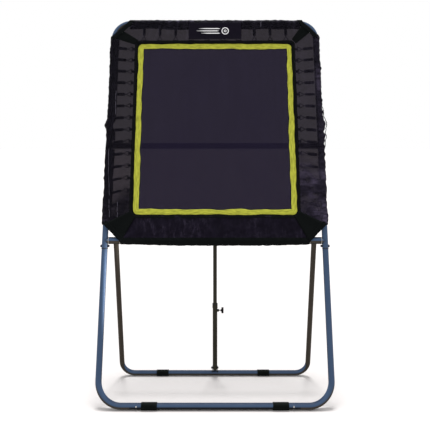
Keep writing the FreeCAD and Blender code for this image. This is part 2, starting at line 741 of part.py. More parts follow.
def sloped_slab(side, start=0.0, thickness=COVER_THICKNESS):
    """A layer that slopes from in front of a tube down to the mat, along one side of the cover.

    start is how far in front of the cover's inner face the layer begins."""
    low_at_mat = -COVER_LIFT - start
    low_at_tube = -COVER_CLEAR_R - start
    if side in ("left", "right"):
        sign = 1 if side == "right" else -1
        near = sign * COVER_HALF_OPENING
        far = sign * HALF_WIDTH
        outline = [
            V(near, low_at_mat, 0),
            V(far, low_at_tube, 0),
            V(far, low_at_tube - thickness, 0),
            V(near, low_at_mat - thickness, 0),
        ]
        run = V(0, 0, 2 * COVER_REACH)
    else:
        near = COVER_OPENING_TOP if side == "top" else COVER_OPENING_BOTTOM
        far = TOP_HEIGHT if side == "top" else LOWER_BAR_HEIGHT
        outline = [
            V(-COVER_REACH, low_at_mat, near),
            V(-COVER_REACH, low_at_tube, far),
            V(-COVER_REACH, low_at_tube - thickness, far),
            V(-COVER_REACH, low_at_mat - thickness, near),
        ]
        run = V(2 * COVER_REACH, 0, 0)
    return Part.Face(Part.makePolygon(outline + outline[:1])).extrude(run)


def corner_points(x_sign, at_top):
    """The inner and outer end of the cover's mitre at one corner, as (x, height)."""
    inner = (x_sign * COVER_HALF_OPENING, COVER_OPENING_TOP if at_top else COVER_OPENING_BOTTOM)
    outer = (x_sign * HALF_WIDTH, TOP_HEIGHT if at_top else LOWER_BAR_HEIGHT)
    return inner, outer


def side_area(side):
    """The trapezium between two mitres that one side of the cover fills."""
    ends = {
        "right": [(1, False), (1, True)],
        "left": [(-1, False), (-1, True)],
        "top": [(-1, True), (1, True)],
        "bottom": [(-1, False), (1, False)],
    }[side]
    (inner_a, outer_a), (inner_b, outer_b) = [corner_points(*end) for end in ends]
    return prism([inner_a, outer_a, outer_b, inner_b], -COVER_DEPTH, COVER_DEPTH)


def band_area(x_sign, at_top):
    """The strip along one mitre that a corner band fills."""
    (x0, z0), (x1, z1) = corner_points(x_sign, at_top)
    run = math.hypot(x1 - x0, z1 - z0)
    along = ((x1 - x0) / run, (z1 - z0) / run)
    across = (-along[1] * CORNER_BAND_HALF, along[0] * CORNER_BAND_HALF)
    past = 2 * COVER_OUTER_R
    back = (x0 - along[0] * past, z0 - along[1] * past)
    ahead = (x1 + along[0] * past, z1 + along[1] * past)
    points = [
        (back[0] + across[0], back[1] + across[1]),
        (ahead[0] + across[0], ahead[1] + across[1]),
        (ahead[0] - across[0], ahead[1] - across[1]),
        (back[0] - across[0], back[1] - across[1]),
    ]
    return prism(points, -COVER_DEPTH, COVER_DEPTH)


def cut_corners(shape):
    """Takes off the four corners, where the cover runs straight across."""
    high = TOP_CORNER_SUM
    low = BOTTOM_CORNER_DIFF
    for sign in BOTH_SIDES:
        far = sign * COVER_REACH
        above = [(0, high), (far, high - COVER_REACH), (far, high)]
        below = [(0, low), (far, low + COVER_REACH), (far, low)]
        for corner in (above, below):
            shape = shape.cut(prism(corner, -COVER_DEPTH, COVER_DEPTH))
    return shape


def binding_area():
    width = BINDING_WIDTH
    outer = box(
        V(-COVER_HALF_OPENING - width, -COVER_DEPTH, COVER_OPENING_BOTTOM - width),
        V(COVER_HALF_OPENING + width, COVER_DEPTH, COVER_OPENING_TOP + width),
    )
    inner = box(
        V(-COVER_HALF_OPENING, -COVER_DEPTH, COVER_OPENING_BOTTOM),
        V(COVER_HALF_OPENING, COVER_DEPTH, COVER_OPENING_TOP),
    )
    return outer.cut(inner)


def half_wrap(start, end, outward):
    """The part of the cover that goes round the outside of a tube, front to back."""
    ring = pipe(start, end, COVER_OUTER_R, COVER_THICKNESS)
    run = end - start
    back = COVER_OUTER_R + 1
    inward = outward * -1
    corner = start - AXIS_Y * back
    face = Part.Face(Part.makePolygon([
        corner, corner + run, corner + run + inward * back, corner + inward * back, corner
    ]))
    return ring.cut(face.extrude(AXIS_Y * (2 * back)))


def cover_panel(side):
    panel = sloped_slab(side).common(side_area(side))
    for x_sign in BOTH_SIDES:
        for at_top in (False, True):
            panel = panel.cut(band_area(x_sign, at_top))
    panel = cut_corners(panel).cut(binding_area())
    sign = -1 if side == "left" else 1
    if side in ("left", "right"):
        low = HALF_WIDTH + BOTTOM_CORNER_DIFF
        high = TOP_HEIGHT - TOP_BEND_R
        wrap = half_wrap(V(sign * HALF_WIDTH, 0, low), V(sign * HALF_WIDTH, 0, high), V(sign, 0, 0))
    elif side == "top":
        half = HALF_WIDTH - TOP_BEND_R
        wrap = half_wrap(V(-half, 0, TOP_HEIGHT), V(half, 0, TOP_HEIGHT), AXIS_Z)
    else:
        half = COVER_WRAP_HALF
        wrap = half_wrap(V(-half, 0, LOWER_BAR_HEIGHT), V(half, 0, LOWER_BAR_HEIGHT), V(0, 0, -1))
    return largest(panel.fuse(wrap).removeSplitter())


def corner_band(x_sign, at_top):
    upright = "right" if x_sign > 0 else "left"
    level = "top" if at_top else "bottom"
    layers = [sloped_slab(side).common(side_area(side)) for side in (upright, level)]
    band = layers[0].fuse(layers[1]).common(band_area(x_sign, at_top))
    return largest(cut_corners(band).cut(binding_area()).removeSplitter())


def cover_binding():
    """The folded band sewn along the cover's inner edge, a little thicker than the mesh."""
    thickness = COVER_THICKNESS + 2 * BINDING_EXTRA
    layers = []
    for side in ("left", "right", "top", "bottom"):
        layers.append(sloped_slab(side, -BINDING_EXTRA, thickness).common(side_area(side)))
    return largest(layers[0].fuse(layers[1:]).common(binding_area()))


def badge_patch():
    """A plain opaque patch sewn on the middle of the cover's top panel."""
    layer = sloped_slab("top", COVER_THICKNESS, BADGE_THICKNESS)
    area = box(V(-BADGE_HALF_WIDTH, -COVER_DEPTH, BADGE_FROM), V(BADGE_HALF_WIDTH, 0, BADGE_TO))
    return layer.common(area)


def build():
    parts = {}
    right_tube = right_side_tube()
    leg = right_leg()
    parts["top_tube"] = lean(top_tube())
    parts["right_side_tube"] = lean(right_tube)
    parts["left_side_tube"] = mirror_x(lean(right_tube))
    parts["lower_crossbar"] = lean(lower_crossbar())
    parts["mid_crossbar"] = lean(mid_crossbar())
    parts["right_leg"] = lean(leg)
    parts["left_leg"] = mirror_x(lean(leg))
    parts["base_bar"] = lean(base_bar())

    front_foot = foot_sleeve(FRONT_FOOT_FROM, FRONT_FOOT_LENGTH, BASE_Y, BASE_HEIGHT, TUBE_R, FOOT_R)
    parts["right_front_foot"] = front_foot
    parts["left_front_foot"] = mirror_x(front_foot)
    for side, x_from in (("left", LEFT_REAR_FOOT_FROM), ("right", RIGHT_REAR_FOOT_FROM)):
        rear_foot = foot_sleeve(
            x_from, REAR_FOOT_LENGTH, REAR_BAR.y, REAR_BAR_HEIGHT, BRACE_R, REAR_FOOT_R
        )
        parts[side + "_rear_foot"] = mirror_x(rear_foot) if side == "left" else rear_foot

    inner, outer = leg_bolt_faces()
    leg_bolt = lean(bolt(inner, outer, M8))
    leg_nut = lean(nut(inner, M8))
    washers = [lean(washer) for washer in right_leg_washers()]
    parts["leg_bolts"] = group([leg_bolt, mirror_x(leg_bolt)])
    parts["leg_nuts"] = group([leg_nut, mirror_x(leg_nut)])
    parts["leg_washers"] = group(washers + [mirror_x(washer) for washer in washers])

    button = lean(right_snap_button())
    leaf = lean(right_snap_spring())
    parts["right_snap_button"] = button
    parts["left_snap_button"] = mirror_x(button)
    parts["snap_springs"] = group([leaf, mirror_x(leaf)])

    parts["rear_brace_tube"] = hang_brace(rear_brace_tube())
    sleeve = hang_brace(right_pivot_sleeve())
    parts["pivot_sleeves"] = group([sleeve, mirror_x(sleeve)])
    bushings = [hang_brace(bushing) for bushing in right_bushings()]
    parts["pivot_bushings"] = group(bushings + [mirror_x(bushing) for bushing in bushings])

    parts["upper_strut_ears"] = group(ears(UPPER_PIVOT, PIVOT, TUBE_R, STRUT_INNER_R))
    parts["lower_strut_ears"] = group(ears(LOWER_PIVOT, REAR_BAR, BRACE_R, STRUT_OUTER_R))
    parts["upper_strut_bolt"], parts["upper_strut_nut"] = pivot_bolt_and_nut(UPPER_PIVOT, STRUT_INNER_R)
    parts["lower_strut_bolt"], parts["lower_strut_nut"] = pivot_bolt_and_nut(LOWER_PIVOT, STRUT_OUTER_R)
    parts["strut_inner_tube"] = hang_strut(strut_inner_tube())
    parts["strut_outer_tube"] = hang_strut(strut_outer_tube())
    parts["strut_collar"] = hang_strut(strut_collar())
    parts["lock_boss"] = hang_strut(lock_boss())
    parts["lock_pad"] = hang_strut(lock_pad())
    parts["lock_screw"] = hang_strut(lock_screw())
    parts["lock_knob"] = hang_strut(lock_knob())

    parts["mat"] = lean(mat())
    parts["edge_webbing"] = lean(edge_webbing())
    parts["mat_trim"] = lean(mat_trim())
    ring = ring_solid()
    loop = loop_solid()
    stations = spring_stations()
    parts["v_rings"] = group([at_station(ring, point, turn) for _, point, turn, _ in stations])
    parts["ring_loops"] = group([at_station(loop, point, turn) for _, point, turn, _ in stations])
    for side in ("left", "right", "top", "bottom"):
        gap = spring_gap(side)
        places = [place[1:] for place in stations if place[0] == side]
        springs = [at_station(spring_solid(gap, rise), point, turn) for point, turn, rise in places]
        parts["springs_" + side] = group(springs)
        parts["cover_" + side] = lean(cover_panel(side))
    bands = [corner_band(x_sign, at_top) for x_sign in BOTH_SIDES for at_top in (False, True)]
    parts["corner_bands"] = group([lean(band) for band in bands])
    parts["cover_binding"] = lean(cover_binding())
    parts["badge_patch"] = lean(badge_patch())
    return parts


os.makedirs("parts", exist_ok=True)
for name, shape in build().items():
    shape.exportStep("parts/" + name + ".step")
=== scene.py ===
import math

import bpy
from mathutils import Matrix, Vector, noise


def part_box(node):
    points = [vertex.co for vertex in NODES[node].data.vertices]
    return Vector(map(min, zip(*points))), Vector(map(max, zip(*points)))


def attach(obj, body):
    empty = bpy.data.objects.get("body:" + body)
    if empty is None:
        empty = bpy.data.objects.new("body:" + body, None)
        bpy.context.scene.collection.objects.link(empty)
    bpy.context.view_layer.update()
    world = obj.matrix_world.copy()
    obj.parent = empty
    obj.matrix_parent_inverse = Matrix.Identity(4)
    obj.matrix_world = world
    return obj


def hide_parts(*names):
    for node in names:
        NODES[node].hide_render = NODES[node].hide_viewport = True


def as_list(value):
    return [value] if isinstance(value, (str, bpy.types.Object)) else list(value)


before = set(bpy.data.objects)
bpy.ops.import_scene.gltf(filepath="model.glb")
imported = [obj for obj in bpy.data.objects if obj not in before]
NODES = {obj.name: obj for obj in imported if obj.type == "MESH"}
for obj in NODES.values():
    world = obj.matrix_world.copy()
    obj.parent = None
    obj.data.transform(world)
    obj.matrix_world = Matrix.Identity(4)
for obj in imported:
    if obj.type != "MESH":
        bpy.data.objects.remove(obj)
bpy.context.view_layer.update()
SCENE = bpy.context.scene

# Frame space, in metres: x across, y behind the mat, h up along the leaning front frame.
TILT = math.radians(15)
TUBE_R = 0.016
HALF_WIDTH = 0.594
TOP_HEIGHT = 2.108
LOWER_BAR_HEIGHT = 0.829
MID_BAR_HEIGHT = 1.365
SIDE_TUBE_FOOT = 0.786

MAT_HALF_WIDTH = 0.478
MAT_BOTTOM = 0.945
MAT_TOP = 1.992
MAT_EDGE = 0.480
WEBBING_HALF = 0.470
TRIM_HALF_WIDTH = 0.450
TRIM_BOTTOM = 0.968
TRIM_TOP = 1.976
CORNER_R = 0.025

SIDE_SPRINGS = [(1.944 - 0.070 * i, 0.008 - 0.002 * i) for i in range(15)]   # h at the mat, rise
END_SPRINGS = [0.093 * (i - 4.5) for i in range(10)]                         # x
RING_BASE = 0.0045
RING_TIP = 0.029
RING_HALF_BASE = 0.013
RING_WIRE_R = 0.0021
HOOK_R = 0.0034
COIL_R = 0.0075
COIL_WIRE_R = 0.00125
COIL_PITCH = 0.0027

COVER_R = 0.0190             # middle of the cloth round a tube
COVER_FRONT = 0.0062         # how far the cloth stands forward at the opening
COVER_HEM = 0.004            # where the cloth begins, out from the opening
COVER_TURN = -0.001          # where the cloth begins to turn round the tube
COVER_SLOPE = 0.0138         # how much further forward it stands at the tube's centre
CLOTH = 0.0009
OPENING_HALF = 0.452
OPENING_BOTTOM = 0.966
OPENING_TOP = 1.978
# The corners are cut at 45 degrees: above, |x| + h stays below a sum, left (-1) and right (1);
# below, h - |x| stays above a difference.
TOP_CORNER_SUMS = {-1: 2.622, 1: 2.632}
BOTTOM_CORNER_DIFF = 0.310
CORNER_PATCHES = (           # noise seed, corners
    (61, ((-0.452, 1.998), (-0.468, 1.968), (-0.594, 2.005), (-0.556, 2.062))),
    (62, ((0.476, 1.975), (0.452, 2.003), (0.510, 2.084), (0.566, 2.050))),
    (62, ((-0.459, 0.988), (-0.432, 0.959), (-0.506, 0.8175), (-0.604, 0.9155))),
    (64, ((0.432, 0.959), (0.459, 0.988), (0.604, 0.9155), (0.506, 0.8175))),
)

BADGE_HALF = 0.155
BADGE_FROM = 2.004
BADGE_TO = 2.104
BALL_X = 0.060
BALL_H = 2.052

base_low, base_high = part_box("base_bar")
BASE_Y = (base_low.y + base_high.y) / 2
BASE_Z = (base_low.z + base_high.z) / 2


def lean(x, y, h):
    """A point of frame space where it stands on the ground."""
    return Vector((
        x,
        BASE_Y + h * math.sin(TILT) + y * math.cos(TILT),
        BASE_Z + h * math.cos(TILT) - y * math.sin(TILT),
    ))


def forward(distance):
    """A step towards the viewer's side of the leaning frame."""
    return lean(0, -distance, 0) - lean(0, 0, 0)


def wave(value, seed):
    """Smooth repeatable noise from about -1 to 1 along a line."""
    total, weight = 0.0, 1.0
    for k in range(2):
        total += weight * noise.noise(Vector((value * 2 ** k, seed * 7.31 + k * 3.7, seed * 1.9)))
        weight *= 0.5
    return total * 1.6


def wave2(a, b, seed):
    """The same over a surface."""
    return noise.noise(Vector((a, b, seed * 5.17))) * 1.7


def mix(a, b, t):
    return a + (b - a) * t


def clamp(value, low=0.0, high=1.0):
    return max(low, min(high, value))


def smooth(value, low, high):
    t = clamp((value - low) / (high - low))
    return t * t * (3 - 2 * t)


def direction(degrees):
    angle = math.radians(degrees)
    return math.cos(angle), math.sin(angle)


def turns(count):
    """Angles that share out one turn."""
    return [math.tau * k / count for k in range(count)]


def circle(centre, side, other, radius, count):
    return [centre + (side * math.cos(t) + other * math.sin(t)) * radius for t in turns(count)]


def net(rows, columns, point):
    """Rows of points from point(t, u), where t goes from 0 to 1 over the rows and u along them."""
    return [[point(i / rows, j / columns) for j in range(columns + 1)] for i in range(rows + 1)]


def place(name, data):
    """A new object in the scene."""
    thing = bpy.data.objects.new(name, data)
    SCENE.collection.objects.link(thing)
    return thing


# ---- camera, light and floor ----

LENS_MM = 43.3
CAMERA_BACK = 2.56
CAMERA_HEIGHT = 1.345
CAMERA_PITCH = math.radians(2.25)
CAMERA_SHIFT = -0.12


def add_camera():
    camera = place("camera", bpy.data.cameras.new("camera"))
    camera.data.lens = LENS_MM
    camera.data.sensor_width = 36
    camera.data.shift_y = CAMERA_SHIFT
    camera.data.clip_end = 100
    camera.location = (0, BASE_Y - CAMERA_BACK, CAMERA_HEIGHT)
    camera.rotation_euler = (math.radians(90) - CAMERA_PITCH, 0, 0)
    SCENE.camera = camera


def add_light(name, kind, energy, location, target, size):
    """size is the two sides of an area light in metres, or the width of a sun as an angle."""
    data = bpy.data.lights.new(name, kind)
    data.energy = energy
    if kind == "AREA":
        data.shape = "RECTANGLE"
        data.size, data.size_y = size
    else:
        data.angle = size
    light = place(name, data)
    light.location = location
    light.rotation_euler = (Vector(target) - Vector(location)).to_track_quat("-Z", "Y").to_euler()
    return light


def add_studio():
    world = bpy.data.worlds.new("studio")
    SCENE.world = world
    world.use_nodes = True
    background = world.node_tree.nodes["Background"].inputs
    background["Color"].default_value = (1, 1, 1, 1)
    background["Strength"].default_value = 1.0
    SCENE.view_settings.view_transform = "Standard"
    for side in (-0.9, 0, 0.9):
        add_light("high_key", "SUN", 0.58, (side, 0.75, 10), (0, 0, 0), math.radians(6))
        add_light("back_key", "SUN", 0.58, (side, 2.1, 10), (0, 0, 0), math.radians(5))
    strip = add_light("leg_strip", "AREA", 0.7, (-0.30, -0.13, 0.62), (-0.62, -0.13, 0.60), (0.04, 0.42))
    strip.data.spread = math.radians(50)
    strip.visible_camera = False


# ---- materials ----

class Shader:
    """A node material, built up call by call."""

    def __init__(self, name):
        self.material = bpy.data.materials.new(name)
        self.material.use_nodes = True
        self.tree = self.material.node_tree
        self.tree.nodes.clear()

    def add(self, kind, inputs=None, **settings):
        node = self.tree.nodes.new(kind)
        for key, value in settings.items():
            setattr(node, key, value)
        for key, value in (inputs or {}).items():
            if isinstance(value, bpy.types.NodeSocket):
                self.tree.links.new(value, node.inputs[key])
            else:
                node.inputs[key].default_value = value
        return node

    def object_point(self):
        return self.add("ShaderNodeTexCoord").outputs["Object"]

    def uv(self):
        return self.add("ShaderNodeUVMap").outputs["UV"]

    def scaled(self, vector, *scale):
        return self.add("ShaderNodeMapping", {"Vector": vector, "Scale": scale}).outputs[0]

    def noise(self, scale, detail=3.0, rough=0.5, vector=None):
        inputs = {"Scale": scale, "Detail": detail, "Roughness": rough}
        inputs["Vector"] = vector or self.object_point()
        return self.add("ShaderNodeTexNoise", inputs).outputs["Fac"]

    def product(self, a, b):
        return self.math("MULTIPLY", a, b)

    def math(self, operation, a, b=0.0):
        return self.add("ShaderNodeMath", {0: a, 1: b}, operation=operation).outputs[0]

    def spread(self, value, low, high, to_low=0.0, to_high=1.0):
        inputs = {"Value": value, "From Min": low, "From Max": high, "To Min": to_low, "To Max": to_high}
        return self.add("ShaderNodeMapRange", inputs, interpolation_type="SMOOTHSTEP").outputs["Result"]

    def blend(self, amount, a, b):
        a, b = [(*colour, 1) if isinstance(colour, tuple) else colour for colour in (a, b)]
        return self.add("ShaderNodeMix", {0: amount, 6: a, 7: b}, data_type="RGBA").outputs[2]

    def bump(self, height, distance, strength=1.0):
        inputs = {"Height": height, "Distance": distance, "Strength": strength}
        return self.add("ShaderNodeBump", inputs).outputs["Normal"]

    def finish(self, colour, roughness, normal=None, specular=0.5, holes=None, more=()):
        """The surface. holes is the share of the light that a mesh cloth lets straight through."""
        inputs = {"Base Color": colour, "Roughness": roughness, "Specular IOR Level": specular, **dict(more)}
        if normal:
            inputs["Normal"] = normal
        shader = self.add("ShaderNodeBsdfPrincipled", inputs).outputs["BSDF"]
        if holes:
            clear = self.add("ShaderNodeBsdfTransparent", {"Color": (1.0, 0.94, 1.0, 1.0)}).outputs["BSDF"]
            shader = self.add("ShaderNodeMixShader", {0: holes, 1: shader, 2: clear}).outputs["Shader"]
        self.add("ShaderNodeOutputMaterial", {"Surface": shader})
        return self.material


def weave(shader, along, across):
    """Threads crossing at right angles, as a height from 0 to 1. The pitches are in metres of the UV map."""
    split = shader.add("ShaderNodeSeparateXYZ", {0: shader.uv()})
    warp = shader.math("SINE", shader.product(split.outputs[0], math.tau / along))
    weft = shader.math("SINE", shader.product(split.outputs[1], math.tau / across))
    return shader.math("ADD", shader.product(shader.product(warp, weft), 0.5), 0.5)


def paint_material(name, underlit_a, underlit_b, turn):
    """Slate-blue powder coat, with painted light by the way each face turns: blue facing up, the underlit
    colour facing down as a painted reflection of the ground, painted shade darkening the tops and near black
    underneath. turn is where the blue gives way, as the slope of the surface.
    """
    s = Shader(name)
    normal = s.add("ShaderNodeTexCoord").outputs["Normal"]
    up = s.add("ShaderNodeSeparateXYZ", {0: normal}).outputs[2]
    # Painted light: side is 1 where the face turns up and shows blue, 0 where it turns down and shows the
    # underlit colour.
    side = s.spread(up, *turn)
    # Painted shade: faces turned up are darkened, and faces turned straight down go near black.
    top_shade = s.spread(up, 0.50, 0.95, 0.0, 0.85)
    under_shade = s.spread(up, -0.95, -0.45, 1.0, 0.0)
    tone = s.noise(9.0, 4.0)
    blue = s.blend(tone, (0.034, 0.060, 0.112), (0.044, 0.074, 0.132))
    # The underlit colour is a painted reflection of the ground on faces turned down.
    underlit = s.blend(tone, underlit_a, underlit_b)
    underlit = s.blend(under_shade, underlit, (0.005, 0.0055, 0.008))
    colour = s.blend(side, underlit, s.blend(top_shade, blue, (0.011, 0.020, 0.044)))
    scuff = s.spread(s.noise(140.0, 6.0, 0.7), 0.63, 0.72)
    colour = s.blend(s.product(scuff, 0.35), colour, (0.16, 0.17, 0.19))
    rough = s.spread(s.noise(35.0), 0.3, 0.7, 0.38, 0.50)
    peel = s.bump(s.noise(900.0, 2.0), 0.00006, 0.6)
    return s.finish(colour, rough, peel, 0.10)


def metal_material(name, bright, dark, roughness):
    """Plated steel, its plating a little cloudy."""
    s = Shader(name)
    tone = s.noise(300.0, 4.0, 0.6)
    colour = s.blend(s.spread(tone, 0.35, 0.7), dark, bright)
    rough = s.spread(tone, 0.3, 0.7, roughness, roughness + 0.18)
    return s.finish(colour, rough, s.bump(s.noise(1400.0, 2.0), 0.00004, 0.7), more={"Metallic": 1.0})


def moulded_material(name, colour, light, roughness, grain=0.00008, specular=0.25):
    """Moulded rubber or plastic, grained and scuffed lighter in places."""
    s = Shader(name)
    tone = s.noise(60.0, 5.0, 0.65)
    shade = s.blend(s.spread(tone, 0.4, 0.75), colour, light)
    normal = s.bump(s.noise(1100.0, 3.0), grain, 0.8)
    rough = s.spread(tone, 0.3, 0.7, roughness - 0.06, roughness + 0.08)
    return s.finish(shade, rough, normal, specular)


def webbing_material(name, colour, light, pitch=0.0022, lines=0.0):
    """Woven tape: chevron ribs with a painted highlight where they stand up and painted shade between them,
    and rubbed lines along it.

    It needs a UV map in metres."""
    s = Shader(name)
    split = s.add("ShaderNodeSeparateXYZ", {0: s.uv()})
    slant = s.math("PINGPONG", split.outputs[1], pitch * 1.8)
    ribs = s.math("ADD", split.outputs[0], slant)
    ribs = s.math("SINE", s.product(ribs, math.tau / pitch))
    height = s.math("ADD", s.product(ribs, 0.5), 0.5)
    soil = s.noise(14.0, 5.0, 0.6)
    # Painted highlight on the raised ribs, painted shade in the grooves.
    shade = s.blend(s.product(height, 0.45), colour, light)
    shade = s.blend(s.spread(soil, 0.45, 0.75, 0.0, 0.25), shade, tuple(0.7 * c for c in colour))
    if lines:
        rubbed = s.noise(1.0, 3.0, 0.6, s.scaled(s.uv(), 26.0, 210.0, 1.0))
        rubbed = s.spread(rubbed, 0.40, 0.66, 0.0, lines)
        shade = s.blend(rubbed, shade, tuple(0.45 * c for c in colour))
    return s.finish(shade, 0.85, s.bump(height, 0.0002, 0.6), 0.03)


def cover_material(name, clear, colour, light, glints_colour=(0.040, 0.033, 0.055), glint_range=(0.46, 0.82)):
    """Knitted mesh cloth, with painted highlights in light streaks along its creases. The layers attribute
    is 1 where the cloth lies doubled.
    """
    s = Shader(name)
    knit = weave(s, 0.0026, 0.0021)
    folds = s.noise(26.0, 4.0, 0.6)
    shade = s.blend(s.spread(folds, 0.35, 0.75), colour, light)
    shade = s.blend(s.product(knit, 0.25), shade, light)
    layers = s.add("ShaderNodeAttribute", attribute_name="layers").outputs["Fac"]
    # Painted highlights: light streaks in clusters, stronger where the cloth lies doubled.
    glints = s.noise(1.0, 6.0, 0.78, s.scaled(s.uv(), 38.0, 13.0, 1.0))
    glints = s.spread(glints, *glint_range, 0.0, 0.75)
    clusters = s.noise(1.0, 2.0, 0.6, s.scaled(s.uv(), 7.0, 5.0, 1.0))
    glints = s.product(glints, s.spread(clusters, 0.42, 0.62, 0.25, 1.15))
    glints = s.product(glints, s.math("ADD", s.product(layers, 0.85), 0.15))
    shade = s.blend(glints, shade, glints_colour)
    holes = s.product(s.math("ADD", s.product(knit, 0.5), 0.75), clear)
    holes = s.product(holes, s.math("SUBTRACT", 1.0, layers))
    sheen = {"Sheen Weight": 0.014, "Sheen Roughness": 0.35, "Sheen Tint": (0.50, 0.42, 0.70, 1)}
    return s.finish(shade, 0.62, s.bump(knit, 0.00025, 0.5), 0.035, holes, sheen)


def mat_material():
    """Close-woven mesh with fine vertical streaks, thin enough to show what is right behind it."""
    s = Shader("mat_weave")
    knit = weave(s, 0.0016, 0.0016)
    streaks = s.noise(1.0, 4.0, 0.6, s.scaled(s.object_point(), 60.0, 3.0, 3.0))
    cloud = s.noise(3.0, 3.0)
    shade = s.blend(s.spread(streaks, 0.3, 0.7), (0.0096, 0.0072, 0.0195), (0.0120, 0.0094, 0.0235))
    shade = s.blend(s.spread(cloud, 0.3, 0.7, 0.0, 0.3), shade, (0.0125, 0.0105, 0.0205))
    shade = s.blend(s.product(knit, 0.3), shade, (0.015, 0.013, 0.023))
    holes = s.math("ADD", s.product(knit, 0.02), 0.090)
    return s.finish(shade, 0.75, s.bump(knit, 0.00015, 0.4), 0.02, holes)


def thread_material(name, colour, light):
    s = Shader(name)
    twist = s.noise(1500.0, 2.0)
    shade = s.blend(twist, colour, light)
    return s.finish(shade, 0.7, s.bump(twist, 0.0001, 0.5), 0.1)


def badge_material():
    """Close black cloth with small pale flecks where the threads cross."""
    s = Shader("badge_cloth")
    cloth = weave(s, 0.0035, 0.0035)
    flecks = s.spread(s.noise(700.0, 2.0), 0.60, 0.70)
    shade = s.blend(s.product(cloth, 0.35), (0.0045, 0.0035, 0.0075), (0.012, 0.010, 0.018))
    shade = s.blend(s.product(flecks, 0.30), shade, (0.05, 0.045, 0.07))
    return s.finish(shade, 0.8, s.bump(cloth, 0.0003, 0.6), 0.03)


def floor_material():
    s = Shader("studio_floor")
    tone = s.noise(0.7, 2.0)
    shade = s.blend(tone, (0.560, 0.540, 0.535), (0.570, 0.550, 0.545))
    return s.finish(shade, 0.9, specular=0.0)


# The first two colours are the underlit colour, a painted reflection of the ground on faces turned down.
PAINT = paint_material(
    "slate_paint", (0.031, 0.0255, 0.0195), (0.040, 0.0335, 0.0255), (-0.02, 0.16),
)
# Near black underneath: painted shade on the base bar, low over the floor.
BASE_PAINT = paint_material(
    "slate_paint_low", (0.0035, 0.0042, 0.0060), (0.0060, 0.0068, 0.0085), (-0.12, 0.30),
)
# The strut shows its underlit colour, a painted reflection of the ground, on all but faces turned well up.
STRUT_PAINT = paint_material(
    "underlit_paint", (0.0165, 0.0155, 0.0098), (0.0240, 0.0225, 0.0150), (0.5, 0.9),
)
RUBBER = moulded_material(
    "black_rubber", (0.0016, 0.0026, 0.0026), (0.0042, 0.0056, 0.0056), 0.62, 0.00015, 0.04,
)
PLASTIC = moulded_material(
    "black_plastic", (0.0015, 0.0018, 0.0020), (0.0045, 0.0050, 0.0060), 0.5, specular=0.08,
)
RIM_PAINT = moulded_material("shadowed_rim", (0.008, 0.012, 0.020), (0.016, 0.024, 0.040), 0.45)
NYLON = moulded_material("nylon", (0.50, 0.48, 0.43), (0.62, 0.60, 0.55), 0.45)
ZINC = metal_material("zinc", (0.62, 0.62, 0.60), (0.38, 0.38, 0.38), 0.28)
DARK_ZINC = metal_material("dark_zinc", (0.075, 0.080, 0.095), (0.030, 0.032, 0.040), 0.34)
SPRING_STEEL = metal_material("spring_steel", (0.040, 0.040, 0.046), (0.014, 0.014, 0.017), 0.40)
RING_STEEL = metal_material("ring_steel", (0.030, 0.030, 0.034), (0.012, 0.012, 0.014), 0.42)
YELLOW = webbing_material("yellow_webbing", (0.40, 0.415, 0.050), (0.60, 0.62, 0.075), lines=0.7)
NAVY = webbing_material("navy_backing", (0.0035, 0.0040, 0.0130), (0.0060, 0.0070, 0.0210))
BLACK_TAPE = webbing_material("black_webbing", (0.0030, 0.0036, 0.0036), (0.0062, 0.0068, 0.0070))
HEM_TAPE = webbing_material("hem_webbing", (0.0026, 0.0034, 0.0034), (0.0052, 0.0062, 0.0064), 0.0030)
MESH = cover_material("cover_mesh", 0.16, (0.0030, 0.0026, 0.0046), (0.0056, 0.0048, 0.0085))
MESH_DENSE = cover_material("cover_mesh_double", 0.03, (0.0026, 0.0018, 0.0048), (0.0062, 0.0046, 0.0105))
# The right panel's cloth: more and stronger painted highlights on its crumples.
MESH_GLINTED = cover_material(
    "cover_mesh_glints", 0.16, (0.0034, 0.0028, 0.0056), (0.0062, 0.0052, 0.0100),
    (0.088, 0.072, 0.122), (0.30, 0.80),
)
# The top's cloth: its painted highlights brighter still.
MESH_CREASED = cover_material(
    "cover_mesh_creased", 0.16, (0.0030, 0.0026, 0.0046), (0.0056, 0.0048, 0.0085),
    (0.150, 0.130, 0.205), (0.46, 0.76),
)
MAT_CLOTH = mat_material()
BADGE_CLOTH = badge_material()
OLIVE_THREAD = thread_material("olive_thread", (0.18, 0.19, 0.030), (0.25, 0.26, 0.045))
BLACK_THREAD = thread_material("black_thread", (0.006, 0.006, 0.007), (0.014, 0.014, 0.016))
# Pale thread for painted highlights on the cover.
HIGHLIGHT_THREAD = thread_material("highlight_thread", (0.085, 0.080, 0.105), (0.150, 0.140, 0.180))
WHITE_THREAD = thread_material("white_thread", (0.62, 0.62, 0.64), (0.85, 0.85, 0.86))


# ---- mesh building ----

